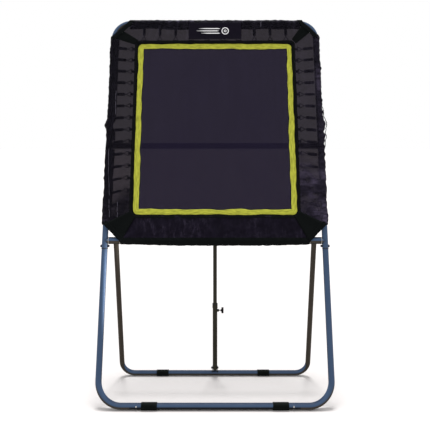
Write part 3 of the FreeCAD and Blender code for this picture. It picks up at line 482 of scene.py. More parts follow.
class Piece:
    """Points and faces that become one mesh."""

    def __init__(self):
        self.points, self.faces, self.uvs, self.slots, self.layers = [], [], [], [], []

    def grid(self, rows, close_rows=False, close_columns=False, uv=None, slot=None, layers=None):
        """Quads between rows of points, with uv(i, j) and layers(i, j) for a point and slot(i) for a row."""
        start, wide = len(self.points), len(rows[0])
        for i, row in enumerate(rows):
            for j, point in enumerate(row):
                self.points.append(point)
                self.uvs.append(uv(i, j) if uv else (0.01 * j, 0.01 * i))
                self.layers.append(layers(i, j) if layers else 0.0)
        for i in range(len(rows) if close_rows else len(rows) - 1):
            for j in range(wide if close_columns else wide - 1):
                a, b = i * wide, (i + 1) % len(rows) * wide
                k = (j + 1) % wide
                self.faces.append((start + a + j, start + a + k, start + b + k, start + b + j))
                self.slots.append(slot(i) if slot else 0)

    def tube(self, path, radius, sides=8, closed=False):
        """A round wire along a path of points. radius is a number or a function of the point's place."""
        count = len(path)
        rows = []
        side = None
        for i, point in enumerate(path):
            after = path[(i + 1) % count] if closed or i + 1 < count else point
            before = path[i - 1] if closed or i else point
            along = (after - before).normalized()
            if side is None:
                side = along.orthogonal().normalized()
            side = (side - along * side.dot(along)).normalized()
            size = radius(i) if callable(radius) else radius
            rows.append(circle(point, side, along.cross(side), size, sides))
        start = len(self.points)
        self.grid(rows, close_rows=closed, close_columns=True)
        if not closed:
            last = start + (count - 1) * sides
            self.faces.append(tuple(start + k for k in reversed(range(sides))))
            self.faces.append(tuple(last + k for k in range(sides)))
            self.slots += [0, 0]

    def make(self, name, materials, slot_name, replaces=(), thickness=0.0, offset=0.0, body="frame"):
        mesh = bpy.data.meshes.new(name)
        mesh.from_pydata(self.points, [], self.faces)
        layer = mesh.uv_layers.new(name="UVMap")
        order = [0] * len(mesh.loops)
        mesh.loops.foreach_get("vertex_index", order)
        layer.data.foreach_set("uv", [c for v in order for c in self.uvs[v]])
        mesh.attributes.new("layers", "FLOAT", "POINT").data.foreach_set("value", self.layers)
        mesh.polygons.foreach_set("use_smooth", [True] * len(mesh.polygons))
        for material in materials:
            mesh.materials.append(material)
        mesh.polygons.foreach_set("material_index", self.slots)
        mesh.validate()
        piece = place(name, mesh)
        if thickness:
            solid = piece.modifiers.new("thickness", "SOLIDIFY")
            solid.thickness = thickness
            solid.offset = offset
        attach(piece, body)
        if replaces:
            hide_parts(*replaces)
        return piece


def dress(material, *nodes):
    """Gives CAD nodes a material."""
    for name in nodes:
        data = NODES[name].data
        data.materials.clear()
        data.materials.append(material)


CORNER_STEPS = 8


def rounded_loop(half, low, high, radius, counts):
    """Points round a rectangle with rounded corners: (x, h, outward x, outward h, distance)."""
    points = []
    travelled = 0.0
    far, top, bottom = half - radius, high - radius, low + radius
    corners = [Vector(corner) for corner in ((far, top), (-far, top), (-far, bottom), (far, bottom))]
    for k, corner in enumerate(corners):
        for i in range(CORNER_STEPS):
            n = direction(90 * k + 90 * i / CORNER_STEPS)
            points.append((corner.x + n[0] * radius, corner.y + n[1] * radius, *n, travelled))
            travelled += radius * math.pi / 2 / CORNER_STEPS
        n = direction(90 * k + 90)
        a, b = corner + Vector(n) * radius, corners[(k + 1) % 4] + Vector(n) * radius
        for i in range(counts[k]):
            p = a.lerp(b, i / counts[k])
            points.append((p.x, p.y, *n, travelled))
            travelled += (b - a).length / counts[k]
    return points


def add_band(piece, half, low, high, radius, profile, step, edge, back, slot=None):
    """A closed band round a rectangle. profile is a list of (inset, y) round its cross-section.

    edge(inset, distance) moves a point outwards, and back(inset, distance) moves it back."""
    rows, distances = [], []
    wide, tall = 2 * (half - radius), high - low - 2 * radius
    counts = [round(wide / step), round(tall / step)] * 2
    for inset, y in profile:
        size = max(radius - inset, 0.0006)
        row = []
        for x, h, nx, nh, s in rounded_loop(half - inset, low + inset, high - inset, size, counts):
            out = edge(inset, s)
            row.append(lean(x + nx * out, y + back(inset, s), h + nh * out))
            if not rows:
                distances.append(s)
        rows.append(row)
    piece.grid(
        rows, close_rows=True, close_columns=True, slot=slot,
        uv=lambda i, j: (distances[j], abs(profile[i][0])),
    )
    return rows


def seam(name, material, slot_name, rows, depth=0.0002, lift=0.0003):
    """Stitches along closed rows of points, standing depth above them and lift more in their middles."""
    thread = Piece()
    for row in rows:
        path = [point + forward(depth) for point in row]
        stitch_row(thread, path + path[:1], forward(lift))
    return thread.make(name, [material], slot_name)


def stitch_row(piece, path, lift, length=0.0028, gap=0.0012, radius=0.00035):
    """Short stitches laid along a path of points."""
    reach = 0.0
    for a, b in zip(path, path[1:]):
        run = b - a
        far = run.length
        if far < 1e-6:
            continue
        along = run / far
        while reach + length < far:
            start = a + along * reach
            end = start + along * length
            rise = along * length * 0.15
            middle = (start + end) / 2 + lift
            piece.tube([start, start + rise + lift * 0.7, middle, end - rise + lift * 0.7, end], radius, 5)
            reach += length + gap
        reach = max(0.0, reach - far)


# ---- mat ----

def stations():
    """Each ring and spring: side, centre on the mat's edge, outward and edgeways (x, h), rise."""
    found = []
    for h, rise in SIDE_SPRINGS:
        found.append(("right", (MAT_EDGE, h), (1, 0), (0, 1), rise))
        found.append(("left", (-MAT_EDGE, h), (-1, 0), (0, 1), rise))
    for x in END_SPRINGS:
        found.append(("top", (x, MAT_TOP + 0.002), (0, 1), (1, 0), 0.0))
        found.append(("bottom", (x, MAT_BOTTOM - 0.002), (0, -1), (1, 0), 0.0))
    return found


STATIONS = stations()


def mat_relief(x, h):
    """Small hollows and ridges of a mat under tension, in metres back from its plane."""
    across = max(0.0, (MAT_HALF_WIDTH - abs(x)) / 0.09)
    up = max(0.0, min(h - MAT_BOTTOM, MAT_TOP - h) / 0.09)
    ripple = math.sin(x * 68) * math.exp(-up) + math.sin(h * 90) * math.exp(-across)
    return 0.0012 * wave2(x * 3, h * 3, 1) * (1 - math.exp(-min(across, up))) + 0.0005 * ripple


def add_mat():
    across, up = 96, 104
    half, low, high = 0.464, MAT_BOTTOM + 0.006, MAT_TOP - 0.006

    def mat_point(t, u):
        x, h = mix(-half, half, u), mix(low, high, t)
        return lean(x, mat_relief(x, h), h)

    piece = Piece()
    piece.grid(net(up, across, mat_point), uv=lambda i, j: (2 * half * j / across, (high - low) * i / up))
    mat = piece.make("rebound_mat", [MAT_CLOTH], "mat_weave", ["mat"], 0.0011)

    webbing = Piece()
    back = [
        (0.0012, 0.0020), (0.004, 0.0022), (0.010, 0.0019), (0.020, 0.0021), (0.0298, 0.0018),
        (0.0305, 0.00075), (0.0020, 0.00085),
    ]
    front = [(inset, -y) for inset, y in back[::-1]]
    profile = front[1:] + [(0.0, 0.0)] + back + front[:1]
    add_band(
        webbing, WEBBING_HALF, MAT_BOTTOM - 0.002, MAT_TOP + 0.002, CORNER_R, profile, 0.0075,
        lambda inset, s: 0.0011 * math.exp(-inset / 0.010) * wave(s * 28, 3),
        lambda inset, s: 0.0004 * wave(s * 40, 4),
    )
    edge = webbing.make("mat_edge_webbing", [BLACK_TAPE], "black_webbing", ["edge_webbing"])

    trim = Piece()
    profile = [
        (0.0, -0.00095), (0.0004, -0.0021), (0.0022, -0.0026), (0.0050, -0.0025), (0.0068, -0.0021),
        (0.0090, -0.0026), (0.0135, -0.0027), (0.0150, -0.0022), (0.0165, -0.0027), (0.0215, -0.0026),
        (0.0232, -0.0021), (0.0252, -0.0025), (0.0278, -0.0026), (0.0296, -0.0021), (0.0300, -0.0014),
        (0.0328, -0.0014), (0.0332, -0.00095),
    ]
    seams, backing_from = (4, 7, 10), 14

    def ragged(inset, s):
        return mix(0.0030 * wave(s * 12, 11), 0.0036 * wave(s * 11 + 40, 12), clamp(inset / 0.030))

    def pucker(inset, s):
        return -0.00035 * (1 + wave(s * 60, 13)) + (-0.0003 if 0 < inset < 0.03 else 0.0)

    rows = add_band(
        trim, TRIM_HALF_WIDTH, TRIM_BOTTOM, TRIM_TOP, CORNER_R, profile, 0.0060, ragged, pucker,
        lambda i: 1 if i >= backing_from else 0,
    )
    band = trim.make("mat_trim_band", [YELLOW, NAVY], "trim_webbing", ["mat_trim"])
    stitches = seam("mat_trim_stitches", OLIVE_THREAD, "trim_webbing", [rows[k] for k in seams], lift=0.0004)


# ---- rings, loops and springs ----

def station_point(station, a, b, y=0):
    """A point a metres out from the mat's edge and b metres along it."""
    _, (x, h), out, along, _ = station
    return lean(x + out[0] * a + along[0] * b, y, h + out[1] * a + along[1] * b)


def rounded_corners(corners, radius):
    """A closed path through corners, each rounded with a short arc-like curve."""
    path = []
    for i, corner in enumerate(corners):
        before = (corners[i - 1] - corner).normalized()
        after = (corners[(i + 1) % len(corners)] - corner).normalized()
        start, end = corner + before * radius, corner + after * radius
        for t in (0.0, 0.2, 0.4, 0.6, 0.8, 1.0):
            path.append(start * (1 - t) ** 2 + corner * 2 * t * (1 - t) + end * t * t)
    return path


def add_rings():
    """The mat's V-shaped rings, each in a strap folded round it and sewn down."""
    rings, loops, thread = Piece(), Piece(), Piece()
    arc = [direction(-90 + 22.5 * k) for k in range(9)]
    for index, station in enumerate(STATIONS):
        tip = 0.0008 * wave(index * 3.3, 21)
        corners = [
            station_point(station, RING_BASE, -RING_HALF_BASE - 0.002),
            station_point(station, RING_BASE, RING_HALF_BASE + 0.002),
            station_point(station, RING_TIP + 0.002, tip),
        ]
        rings.tube(rounded_corners(corners, 0.0042), RING_WIRE_R, closed=True)
        root = -0.017 if station[0] in ("left", "right") else -0.009
        outer = [(RING_BASE + 0.0032 * c, 0.0034 * s) for c, s in arc]
        inner = [(RING_BASE + 0.0022 * c, 0.0024 * s) for c, s in reversed(arc)]
        outline = [
            (root, -0.0032), (-0.001, -0.0034), *outer, (-0.001, 0.0034), (root, 0.0032),
            (root, 0.0023), (-0.001, 0.0025), *inner, (-0.001, -0.0025), (root, -0.0023),
        ]
        rows = []
        for b in (-0.0070, -0.0066, -0.003, 0.003, 0.0066, 0.0070):
            pinch = 0.97 if abs(b) > 0.0068 else 1.0
            rows.append([station_point(station, a, b, y * pinch) for a, y in outline])
        loops.grid(rows, close_columns=True, uv=lambda i, j: (0.001 * j, 0.002 * i))
        zigzag = (-0.0075, -0.0058), (-0.0075, 0.0058), (-0.0015, -0.0058), (-0.0015, 0.0058)
        path = [station_point(station, a, b, -0.0034) for a, b in zigzag]
        stitch_row(thread, path, forward(0.0003), 0.0022, 0.0008, 0.0003)
    rings.make("mat_rings", [RING_STEEL], "spring_steel", ["v_rings"])
    loops.make("ring_straps", [BLACK_TAPE], "black_webbing", ["ring_loops"])
    thread.make("ring_strap_stitches", [BLACK_THREAD], "black_webbing")


SIDE_GAP = HALF_WIDTH - TUBE_R - MAT_EDGE
GAPS = {                     # from the mat's edge to the tube
    "left": SIDE_GAP, "right": SIDE_GAP, "top": TOP_HEIGHT - TUBE_R - MAT_TOP - 0.002,
    "bottom": MAT_BOTTOM - 0.002 - LOWER_BAR_HEIGHT - TUBE_R,
}


def spring_path(tip, hole, normal, coil_r):
    """The wire of one spring: a hook round the ring, the coil, and a hook into the tube."""
    axis = hole - tip
    length = axis.length
    axis.normalize()
    side = axis.cross(normal).normalized()
    path = []
    for k in range(10):
        c, s = direction(250 - 250 * k / 9)
        path.append(tip + axis * (0.0005 - HOOK_R * c) + normal * HOOK_R * s)
    first, last = 0.0085, length - 0.0045
    coils = (last - first) / COIL_PITCH
    steps = int(coils * 10)
    for k in range(steps + 1):
        t = k / steps
        angle = math.tau * coils * t
        size = coil_r * min(1.0, 0.35 + t * coils / 1.2, 0.35 + (1 - t) * coils / 1.2)
        path.append(tip + axis * mix(first, last, t)
                    + (side * math.sin(angle) + normal * math.cos(angle)) * size)
    path.append(tip + axis * (length - 0.0022) + normal * 0.0004)
    return path + [tip + axis * (length + past) for past in (0.001, 0.0045)]


def add_springs():
    normal = forward(1).normalized()
    for side in ("left", "right", "top", "bottom"):
        piece = Piece()
        for station in [station for station in STATIONS if station[0] == side]:
            _, (x, h), _, _, rise = station
            tip = station_point(station, RING_TIP, 0)
            hole = station_point(station, GAPS[side], rise)
            coil_r = COIL_R * (1 + 0.14 * wave(x * 9 + h * 13, 23))
            piece.tube(spring_path(tip, hole, normal, coil_r), COIL_WIRE_R, 6)
        piece.make("coil_springs_" + side, [SPRING_STEEL], "spring_steel", ["springs_" + side])


# ---- spring cover ----

FRONT_POINTS = 22            # rows of a panel before it turns round the tube
WRAP_POINTS = 15             # rows round the tube, before the flap behind it
FLAP_POINTS = 5
HEM_ROW = 19                 # the bottom panel is bound with tape from here on
SLIT_HALF = 0.024
OPENING_A = {                # how far out from each tube's centre line the opening is
    "left": OPENING_HALF - HALF_WIDTH, "right": OPENING_HALF - HALF_WIDTH,
    "top": OPENING_TOP - TOP_HEIGHT, "bottom": LOWER_BAR_HEIGHT - OPENING_BOTTOM,
}
TURNED_ENDS = {              # where the cloth round each tube stops, short of the corners
    "left": (0.906, 2.020), "right": (0.906, 2.020), "top": (-0.508, 0.508), "bottom": (-0.512, 0.512),
}


def side_point(side, a, s, y):
    """A point a metres out from a tube's centre line, s metres along that side."""
    if side in ("left", "right"):
        return lean((HALF_WIDTH + a) * (1 if side == "right" else -1), y, s)
    return lean(s, y, TOP_HEIGHT + a if side == "top" else LOWER_BAR_HEIGHT - a)


def side_limits(side, a):
    """The cover panel's two ends at a metres out, between its mitres and cut corners."""
    start = OPENING_A[side]
    t = clamp((a - start) / -start)
    if side in ("left", "right"):
        cut = TOP_CORNER_SUMS[1 if side == "right" else -1] - HALF_WIDTH - a
        low = max(mix(OPENING_BOTTOM, LOWER_BAR_HEIGHT, t), HALF_WIDTH + a + BOTTOM_CORNER_DIFF)
        return low, min(mix(OPENING_TOP, TOP_HEIGHT, t), cut)
    far = mix(OPENING_HALF, HALF_WIDTH, t)
    if side == "top":
        left, right = [min(far, TOP_CORNER_SUMS[sign] - TOP_HEIGHT - a) for sign in (-1, 1)]
        return -left, right
    far = min(far, LOWER_BAR_HEIGHT - a - BOTTOM_CORNER_DIFF)
    return -far, far


def cover_profile(side):
    """(a, y, outward a, outward y) from the opening, across the springs and round the tube, and the
    length of cloth up to each point."""
    start = OPENING_A[side] + COVER_HEM
    slope = math.atan2(0.0058 - COVER_R, -start)
    points = []
    for i in range(FRONT_POINTS):
        t = i / (FRONT_POINTS - 1)
        a, y = mix(start, COVER_TURN, t), mix(-COVER_FRONT, -COVER_R, t)
        points.append((a, y, math.sin(slope), -math.cos(slope)))
    for i in range(1, WRAP_POINTS + 1):
        c, s = direction(-90 + 180 * i / WRAP_POINTS)
        points.append((COVER_R * c, COVER_R * s, c, s))
    if side in ("left", "top"):
        points += [(-0.027 * i / FLAP_POINTS, COVER_R, 0, 1) for i in range(1, FLAP_POINTS + 1)]
    lengths = [0.0]
    for before, point in zip(points, points[1:]):
        lengths.append(lengths[-1] + math.dist(before[:2], point[:2]))
    return points, lengths


def right_bulge(s):
    """How far the crumpled right edge stands out past the tube at a height on the frame."""
    peak = 0.0135 * max(0.0, 1 - abs(s - 1.482) / 0.052)
    second = 0.0075 * max(0.0, 1 - abs(s - 1.405) / 0.030)
    return max(peak, second) + 0.0030 * max(0.0, wave(s * 14, 45)) * smooth(s, 0.95, 1.1)


def cover_surface(side, a, s, lift):
    """A point just above the front of a cover panel, a metres out from the tube's centre line."""
    profile, lengths = cover_profile(side)
    start = OPENING_A[side] + COVER_HEM
    f = (a - start) / (COVER_TURN - start)
    _, _, na, ny = profile[0]
    off = wrinkle(side, s, f * lengths[FRONT_POINTS - 1] / lengths[-1]) + lift
    return side_point(side, a + na * off, s, mix(-COVER_FRONT, -COVER_R, f) + ny * off)


def wrinkle(side, s, t):
    """How far the cloth stands off its plain shape, in metres. t goes from 0 at the opening to 1."""
    seed = {"left": 31, "right": 32, "top": 33, "bottom": 34}[side]
    pucker = 0.00112 * wave(s * 34, seed) * math.exp(-t / 0.10)
    ridge = 1 - abs(wave(s * 22 + 3 * wave(t * 2, seed + 5), seed + 1))
    around = 0.0020 * clamp(ridge) ** 3 * smooth(t, 0.45, 0.62)
    broad = 0.0016 * wave2(s * 7, t * 3, seed + 2) * smooth(t, 0.05, 0.3)
    diagonal = 0.0011 * wave(s * 17 + t * 9, seed + 3) * smooth(t, 0.1, 0.4) * (1 - smooth(t, 0.55, 0.7))
    depth = {"right": 0.0042, "left": 0.0020}.get(side, 0.0012)
    crumple = depth * wave2(s * 44, t * 12, 35) * smooth(t, 0.60, 0.72)
    return max(-0.0012, pucker + around + broad + diagonal + crumple)


def spill(side, s, t, flap):
    """How far out the cloth round the tube strays, in metres."""
    turned = smooth(t, 0.62, 0.85)
    if side == "bottom":
        return 0.0085 * turned * math.cos(clamp(abs(s) / 0.52) * math.pi / 2)
    if side == "left":
        out = 0.020 * math.exp(-((s - 1.482) / 0.020) ** 2) + 0.003 * max(0, wave(s * 6, 44))
        return turned * (out + 0.006 * math.exp(-((s - 1.175) / 0.012) ** 2))
    if side == "right":
        return turned * right_bulge(s)
    return -0.004 * flap * wave(s * 8, 56)


def doubled(side, s, t):
    """The share of doubled cloth at a place on a panel. s and t go from 0 to 1."""
    if side == "bottom":
        return 1.0
    if side == "top":
        return 0.80 * smooth(t, 0.57, 0.63)
    patchy = clamp(0.5 + 0.9 * wave2(s * 22, t * 5, 51 if side == "left" else 52))
    if side == "left":
        low_part = 1 - smooth(s, 0.05, 0.22)
        return clamp(low_part * (0.55 + 0.45 * patchy) + 0.3 * smooth(t, 0.60, 0.66))
    low_part = 1 - smooth(s, 0.18, 0.40)
    return clamp(low_part * (0.35 + 0.65 * patchy) + 0.7 * smooth(t, 0.62, 0.68))


def add_cover_panel(side):
    profile, lengths = cover_profile(side)
    columns = 210 if side in ("left", "right") else 180
    stop_low, stop_high = TURNED_ENDS[side]
    rows, marks = [], []
    for k, (a, y, na, ny) in enumerate(profile):
        t = lengths[k] / lengths[-1]
        low, high = side_limits(side, a)
        turned = smooth(t, 0.66, 0.80)
        low, high = mix(low, max(low, stop_low), turned), mix(high, min(high, stop_high), turned)
        flap = max(0, k - FRONT_POINTS - WRAP_POINTS + 1) / FLAP_POINTS
        marks.append([mix(low, high, j / columns) for j in range(columns + 1)])
        row = []
        for j, s in enumerate(marks[k]):
            if flap and side == "left" and abs(s - MID_BAR_HEIGHT) < SLIT_HALF:
                # the flap is cut away where the middle crossbar comes through
                row.append(rows[FRONT_POINTS + WRAP_POINTS - 3][j])
                continue
            off = wrinkle(side, s, t) * (1 - flap) + 0.0008 * flap * wave(s * 30, 55)
            row.append(side_point(side, a + na * off + spill(side, s, t, flap), s, y + ny * off))
        rows.append(row)
    piece = Piece()
    piece.grid(
        rows, uv=lambda i, j: (marks[i][j], lengths[i]),
        slot=lambda i: 1 if side == "bottom" and i >= HEM_ROW else 0,
        layers=lambda i, j: doubled(side, j / columns, lengths[i] / lengths[-1]),
    )
    # The right and top panels carry stronger painted highlights.
    cloth = {"bottom": MESH_DENSE, "right": MESH_GLINTED, "top": MESH_CREASED}.get(side, MESH)
    panel = piece.make("spring_cover_" + side, [cloth, HEM_TAPE], "cover_mesh", ["cover_" + side], CLOTH)
    low, high = side_limits(side, OPENING_A[side])
    outer_low, outer_high = side_limits(side, 0.0)
    longest = max(high - low, outer_high - outer_low)
    area = lengths[-1] * ((high - low) + (outer_high - outer_low)) / 2
    return panel, (lengths[-1], longest), area


def cover_y(x, h):
    """The y of the cover's front at a point of the frame's plane."""
    across = (abs(x) - OPENING_HALF) / (HALF_WIDTH - OPENING_HALF)
    up = (h - OPENING_TOP) / (TOP_HEIGHT - OPENING_TOP)
    down = (OPENING_BOTTOM - h) / (OPENING_BOTTOM - LOWER_BAR_HEIGHT)
    return -0.0066 - COVER_SLOPE * clamp(max(across, up, down))


def add_patch(piece, corners, seed):
    """A four-sided piece of cloth lying on the cover, its corners given as (x, h)."""
    a, b, c, d = [Vector(corner) for corner in corners]
    across, along = 10, 22

    def patch_point(t, u):
        p = a.lerp(d, t).lerp(b.lerp(c, t), u)
        edge = math.sin(math.pi * u) ** 0.5
        crease = 0.0012 * wave(t * 5 + u * 2, seed) * edge + 0.0008 * wave2(t * 9, u * 4, seed)
        return lean(p.x, cover_y(p.x, p.y) - 0.0014 - 0.0008 * edge - abs(crease), p.y)

    wide, tall = (b - a).length, (d - a).length
    piece.grid(net(along, across, patch_point), uv=lambda i, j: (tall * i / along, wide * j / across))


def add_corner_bands():
    piece = Piece()
    for seed, corners in CORNER_PATCHES:
        add_patch(piece, corners, seed)
    for sign in (-1, 1):
        for at_top in (True, False):
            seed = 71 + sign + 5 * at_top
            piece.grid(
                net(34, 6, lambda t, u: diagonal_point(sign, at_top, t, 0.024 * u, seed)),
                uv=lambda i, j: (0.007 * i, 0.004 * j),
            )
    return piece.make("cover_corner_bands", [HEM_TAPE], "black_webbing", ["corner_bands"], 0.0011)


def diagonal_point(sign, at_top, t, inset, seed):
    """A point of the band along a cut corner: it starts behind one tube and ends behind the other."""
    r = COVER_R + 0.0016 + 0.0006 * wave(t * 7, seed)
    wrap = 0.24                  # the share of the band that goes round each tube
    if at_top:
        up, level_h = 1, TOP_HEIGHT
        side_h, level_x = TOP_CORNER_SUMS[sign] - HALF_WIDTH, TOP_CORNER_SUMS[sign] - TOP_HEIGHT
    else:
        up, level_h = -1, LOWER_BAR_HEIGHT
        side_h, level_x = HALF_WIDTH + BOTTOM_CORNER_DIFF, LOWER_BAR_HEIGHT - BOTTOM_CORNER_DIFF
    if wrap < t < 1 - wrap:
        u = (t - wrap) / (1 - 2 * wrap)
        p = Vector((HALF_WIDTH, side_h - up * 0.004)).lerp(Vector((level_x - 0.004, level_h)), u)
        p += Vector((-1, -up)).normalized() * inset * mix(1.1, 1.0, math.sin(math.pi * u))
        return lean(sign * p.x, -r - 0.0006, p.y)
    out, y = [r * part for part in direction(100 - 190 * min(t, 1 - t) / wrap)]
    along = 0.35 * out + 0.004 + inset * 1.1
    if t < wrap:
        return lean(sign * (HALF_WIDTH + out), y, side_h - up * along)
    return lean(sign * (level_x - along), y, level_h + up * out)


def add_binding():
    piece = Piece()
    outer = 0.017
    slope = COVER_SLOPE / (HALF_WIDTH - OPENING_HALF)
    section = [
        (outer, 0.0), (outer - 0.0012, -0.0010), (outer - 0.005, -0.0014), (0.010, -0.0012),
        (0.004, -0.0014), (0.0008, -0.0008), (0.0, 0.0008), (0.0010, 0.0022), (0.004, 0.0026),
        (0.010, 0.0024), (outer - 0.002, 0.0022), (outer, 0.0012),
    ]
    rows = add_band(
        piece, OPENING_HALF, OPENING_BOTTOM, OPENING_TOP, 0.006,
        [(-outset, -0.0060 - slope * outset + thick) for outset, thick in section], 0.0070,
        lambda inset, s: 0.0011 * wave(s * 13, 81) if inset > -0.006 else 0.0012 * wave(s * 9, 82),
        lambda inset, s: 0.0006 * wave(s * 38, 83),
    )
    band = piece.make("cover_binding_tape", [BLACK_TAPE], "black_webbing", ["cover_binding"])
    return [band, seam("cover_binding_stitches", BLACK_THREAD, "black_webbing", rows[2:3])]


def badge_y(x, h):
    return cover_y(x, h) - 0.0022 - 0.0006 * abs(wave2(x * 14, h * 20, 91))


def add_badge():
    across, up = 60, 20

    def badge_point(t, u):
        x, h = mix(-BADGE_HALF, BADGE_HALF, u), mix(BADGE_FROM, BADGE_TO, t)
        ragged = 0.0009 * wave(x * 30, 92) if t in (0, 1) else 0
        return lean(x, badge_y(x, h), h + ragged)

    piece = Piece()
    piece.grid(
        net(up, across, badge_point),
        uv=lambda i, j: (2 * BADGE_HALF * j / across, (BADGE_TO - BADGE_FROM) * i / up),
    )
    patch = piece.make("badge_cloth_patch", [BADGE_CLOTH], "badge_fabric", ["badge_patch"], 0.0010)
    right, low, high = BADGE_HALF - 0.005, BADGE_FROM + 0.005, BADGE_TO - 0.005
    outline = [(-right, low), (right, low), (right, high), (-right, high)]
    path = []
    for k, (x0, h0) in enumerate(outline):
        x1, h1 = outline[(k + 1) % 4]
        for i in range(30):
            x, h = mix(x0, x1, i / 30), mix(h0, h1, i / 30)
            path.append(lean(x, badge_y(x, h), h))
    border = seam("badge_stitches", BLACK_THREAD, "black_webbing", [path], 0.0006)
    mark = Piece()
    add_mark_ring(mark, BALL_X, BALL_H, 0.019, 0.0052)
    add_mark_ring(mark, BALL_X, BALL_H, 0.006, 0.0040)
    for rise, start, end in ((0.014, -0.095, 0.030), (0.0, -0.108, 0.022), (-0.014, -0.082, 0.030)):
        add_mark_line(mark, start, end, BALL_H + rise, 0.0028)
    badge_mark = mark.make("badge_ball_mark", [WHITE_THREAD], "badge_fabric")


def add_mark_ring(piece, x, h, radius, width):
    """A flat embroidered ring on the badge."""
    rows = []
    for angle in turns(40):
        row = []
        for off, lift in ((-0.5, 0.0004), (-0.35, 0.0011), (0, 0.0014), (0.35, 0.0011), (0.5, 0.0004)):
            r = radius + off * width
            px, ph = x + r * math.cos(angle), h + r * math.sin(angle)
            row.append(lean(px, badge_y(px, ph) - 0.0005 - lift, ph))
        rows.append(row)
    piece.grid(rows, close_rows=True)


def add_mark_line(piece, start, end, h, half):
    """A tapering embroidered speed line."""
    rows = []
    for i in range(25):
        t = i / 24
        x = mix(start, end, t)
        wide = half * min(1.0, 0.15 + 2.4 * t, 0.3 + 8 * (1 - t))
        row = []
        for off, lift in ((-1, 0.0004), (-0.6, 0.0011), (0, 0.0014), (0.6, 0.0011), (1, 0.0004)):
            row.append(lean(x, badge_y(x, h) - 0.0005 - lift, h + off * wide))
        rows.append(row)
    piece.grid(rows)


def add_loose_hem():
    """The rolled hem that has come away from the crumpled right edge and hangs beside it."""
    path = []
    for i in range(121):
        t = i / 120
        h = mix(1.335, 1.590, t)
        gap = 0.0125 * math.sin(math.pi * t) ** 0.5 + 0.0025 * wave(h * 45, 101) * math.sin(math.pi * t)
        x = HALF_WIDTH + COVER_R - 0.002 + right_bulge(h) * 0.8 + gap
        path.append(lean(x, -0.002 + 0.005 * wave(h * 30, 102), h))
    piece = Piece()
    piece.tube(path, lambda i: 0.0016 + 0.0009 * abs(wave(i * 0.21, 103)))
    return piece.make("cover_loose_hem", [HEM_TAPE], "black_webbing")


def add_painted_highlights():
    """Pale broken threads laid on the cloth as painted highlights: on the left side, along and beside the
    tube under the cloth, and on a fold on the top.
    """
    piece = Piece()
    runs = (
        ((1.190, 1.340), (-0.005, -0.001)), ((0.935, 1.060), (-0.022, -0.014)),
        ((1.075, 1.180), (-0.016, -0.007)), ((0.925, 1.045), (-0.064, -0.060)),
        ((1.50, 1.68), (-0.030, -0.026)),
    )
    # Each run is a painted highlight, broken into pieces.
    for (low, high), (a0, a1) in runs:
        paths = [[]]
        for i in range(61):
            t = i / 60
            a = mix(a0, a1, t) + 0.0012 * wave(t * 6, 111 + low)
            paths[-1].append(cover_surface("left", a, mix(low, high, t), 0.0009))
            if len(paths[-1]) > 1 and wave(t * 11, 114 + low) > 0.25:
                paths.append([])
        for path in paths:
            if len(path) > 2:
                piece.tube(path, 0.0008, 6)
    # A painted highlight on a fold of the top.
    fold = [cover_surface("top", mix(-0.030, -0.002, i / 10), 0.270 + 0.0001 * i, 0.0012) for i in range(11)]
    piece.tube(fold, 0.0011, 6)
    return piece.make("cover_painted_highlights", [HIGHLIGHT_THREAD], "black_webbing")


def add_cover():
    # seams here holds the pale threads, which are painted highlights.
    bands, binding, hem, seams = add_corner_bands(), add_binding(), add_loose_hem(), add_painted_highlights()
    for side, tube, extras in (
        ("left", "left_side_tube", [bands, seams]), ("right", "right_side_tube", [hem]),
        ("top", "top_tube", binding), ("bottom", "lower_crossbar", []),
    ):
        panel, flat, area = add_cover_panel(side)
        min(area, flat[0] * flat[1])
        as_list(extras)


# ---- weld beads and fittings ----

def add_bead(piece, path, seed):
    """A run of weld round a closed path: a wire whose thickness pulses like laid-down puddles."""
    piece.tube(
        path, lambda i: 0.0016 * (1 + 0.22 * math.sin(i * 2.1) + 0.15 * wave(i * 0.7, seed)), closed=True,
    )


def add_welds():
    """Beads round the lower crossbar's ends and the middle crossbar's."""
    piece = Piece()
    for sign in (-1, 1):
        low, middle = [], []
        for angle in turns(72):
            across, up = math.cos(angle), math.sin(angle)
            x = HALF_WIDTH - TUBE_R * abs(up) - 0.0006
            low.append(lean(sign * x, TUBE_R * across * 1.03, LOWER_BAR_HEIGHT + TUBE_R * up * 1.03))
            middle.append(lean(sign * (HALF_WIDTH + 0.0095 * across), 0.0148, MID_BAR_HEIGHT + 0.0150 * up))
        add_bead(piece, low, 111)
        add_bead(piece, middle, 115)
    piece.make("frame_welds", [PAINT], "frame_paint")


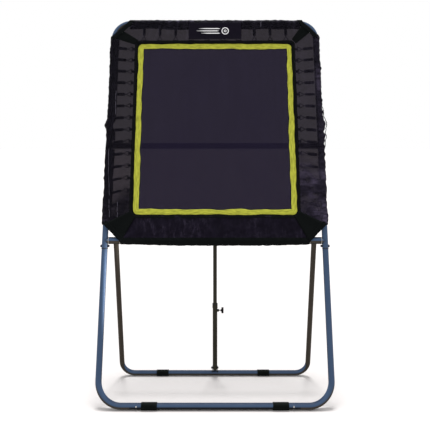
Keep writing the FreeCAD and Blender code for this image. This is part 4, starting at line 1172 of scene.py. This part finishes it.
def add_joint_rims():
    """The rolled rim at the foot of each side tube, where the leg plugs in."""
    piece = Piece()
    axis = (lean(0, 0, 1) - lean(0, 0, 0)).normalized()
    across = axis.orthogonal().normalized()
    for sign in (-1, 1):
        rows = []
        for off, out in ((-20, 0.5), (-16, 10.5), (0, 16.5), (22, 14.5), (34, 3.5)):
            centre = lean(sign * HALF_WIDTH, 0, SIDE_TUBE_FOOT + off * 1e-4)
            rows.append(circle(centre, across, axis.cross(across), TUBE_R + out * 1e-4, 40))
        piece.grid(rows, close_columns=True)
    piece.make("leg_joint_rims", [RIM_PAINT], "frame_paint", (), 0.0006, -1)


def add_screw_thread():
    """The lock screw with its thread, in place of the plain rod."""
    low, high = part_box("lock_screw")
    centre_y, centre_z = (low.y + high.y) / 2, (low.z + high.z) / 2
    pitch, sides = 0.00125, 20
    steps = int((high.x - low.x) / pitch * 6)
    rows = []
    for i in range(steps + 1):
        x = mix(low.x, high.x, i / steps)
        row = []
        for k, angle in enumerate(turns(sides)):
            phase = (x / pitch - k / sides) % 1.0
            size = 0.00345 + 0.00046 * (1 - abs(2 * phase - 1))
            row.append(Vector((x, centre_y + size * math.cos(angle), centre_z + size * math.sin(angle))))
        rows.append(row)
    piece = Piece()
    piece.grid(rows, close_columns=True)
    piece.make("lock_screw_thread", [ZINC], "zinc_hardware", ["lock_screw"], body="lock_knob")


def dress_nodes():
    dress(
        PAINT, "top_tube", "left_side_tube", "right_side_tube", "lower_crossbar", "mid_crossbar",
        "left_leg", "right_leg", "rear_brace_tube", "pivot_sleeves",
    )
    dress(BASE_PAINT, "base_bar")
    dress(
        STRUT_PAINT, "upper_strut_ears", "lower_strut_ears", "strut_inner_tube", "strut_outer_tube",
        "lock_boss", "strut_collar",
    )
    dress(RUBBER, "left_front_foot", "right_front_foot", "left_rear_foot", "right_rear_foot")
    dress(
        DARK_ZINC, "leg_bolts", "leg_nuts", "leg_washers", "upper_strut_bolt", "upper_strut_nut",
        "lower_strut_bolt", "lower_strut_nut",
    )
    dress(ZINC, "snap_springs", "left_snap_button", "right_snap_button")
    dress(NYLON, "pivot_bushings")
    dress(PLASTIC, "lock_knob", "lock_pad")


def add_floor():
    piece = Piece()
    piece.grid(net(8, 8, lambda t, u: Vector((mix(-60, 60, u), mix(-20, 100, t), 0))))
    mesh = bpy.data.meshes.new("floor")
    mesh.from_pydata(piece.points, [], piece.faces)
    mesh.materials.append(floor_material())
    place("floor", mesh)


add_camera()
add_studio()
add_floor()
dress_nodes()
add_mat()
add_rings()
add_springs()
add_cover()
add_badge()
add_welds()
add_joint_rims()
add_screw_thread()
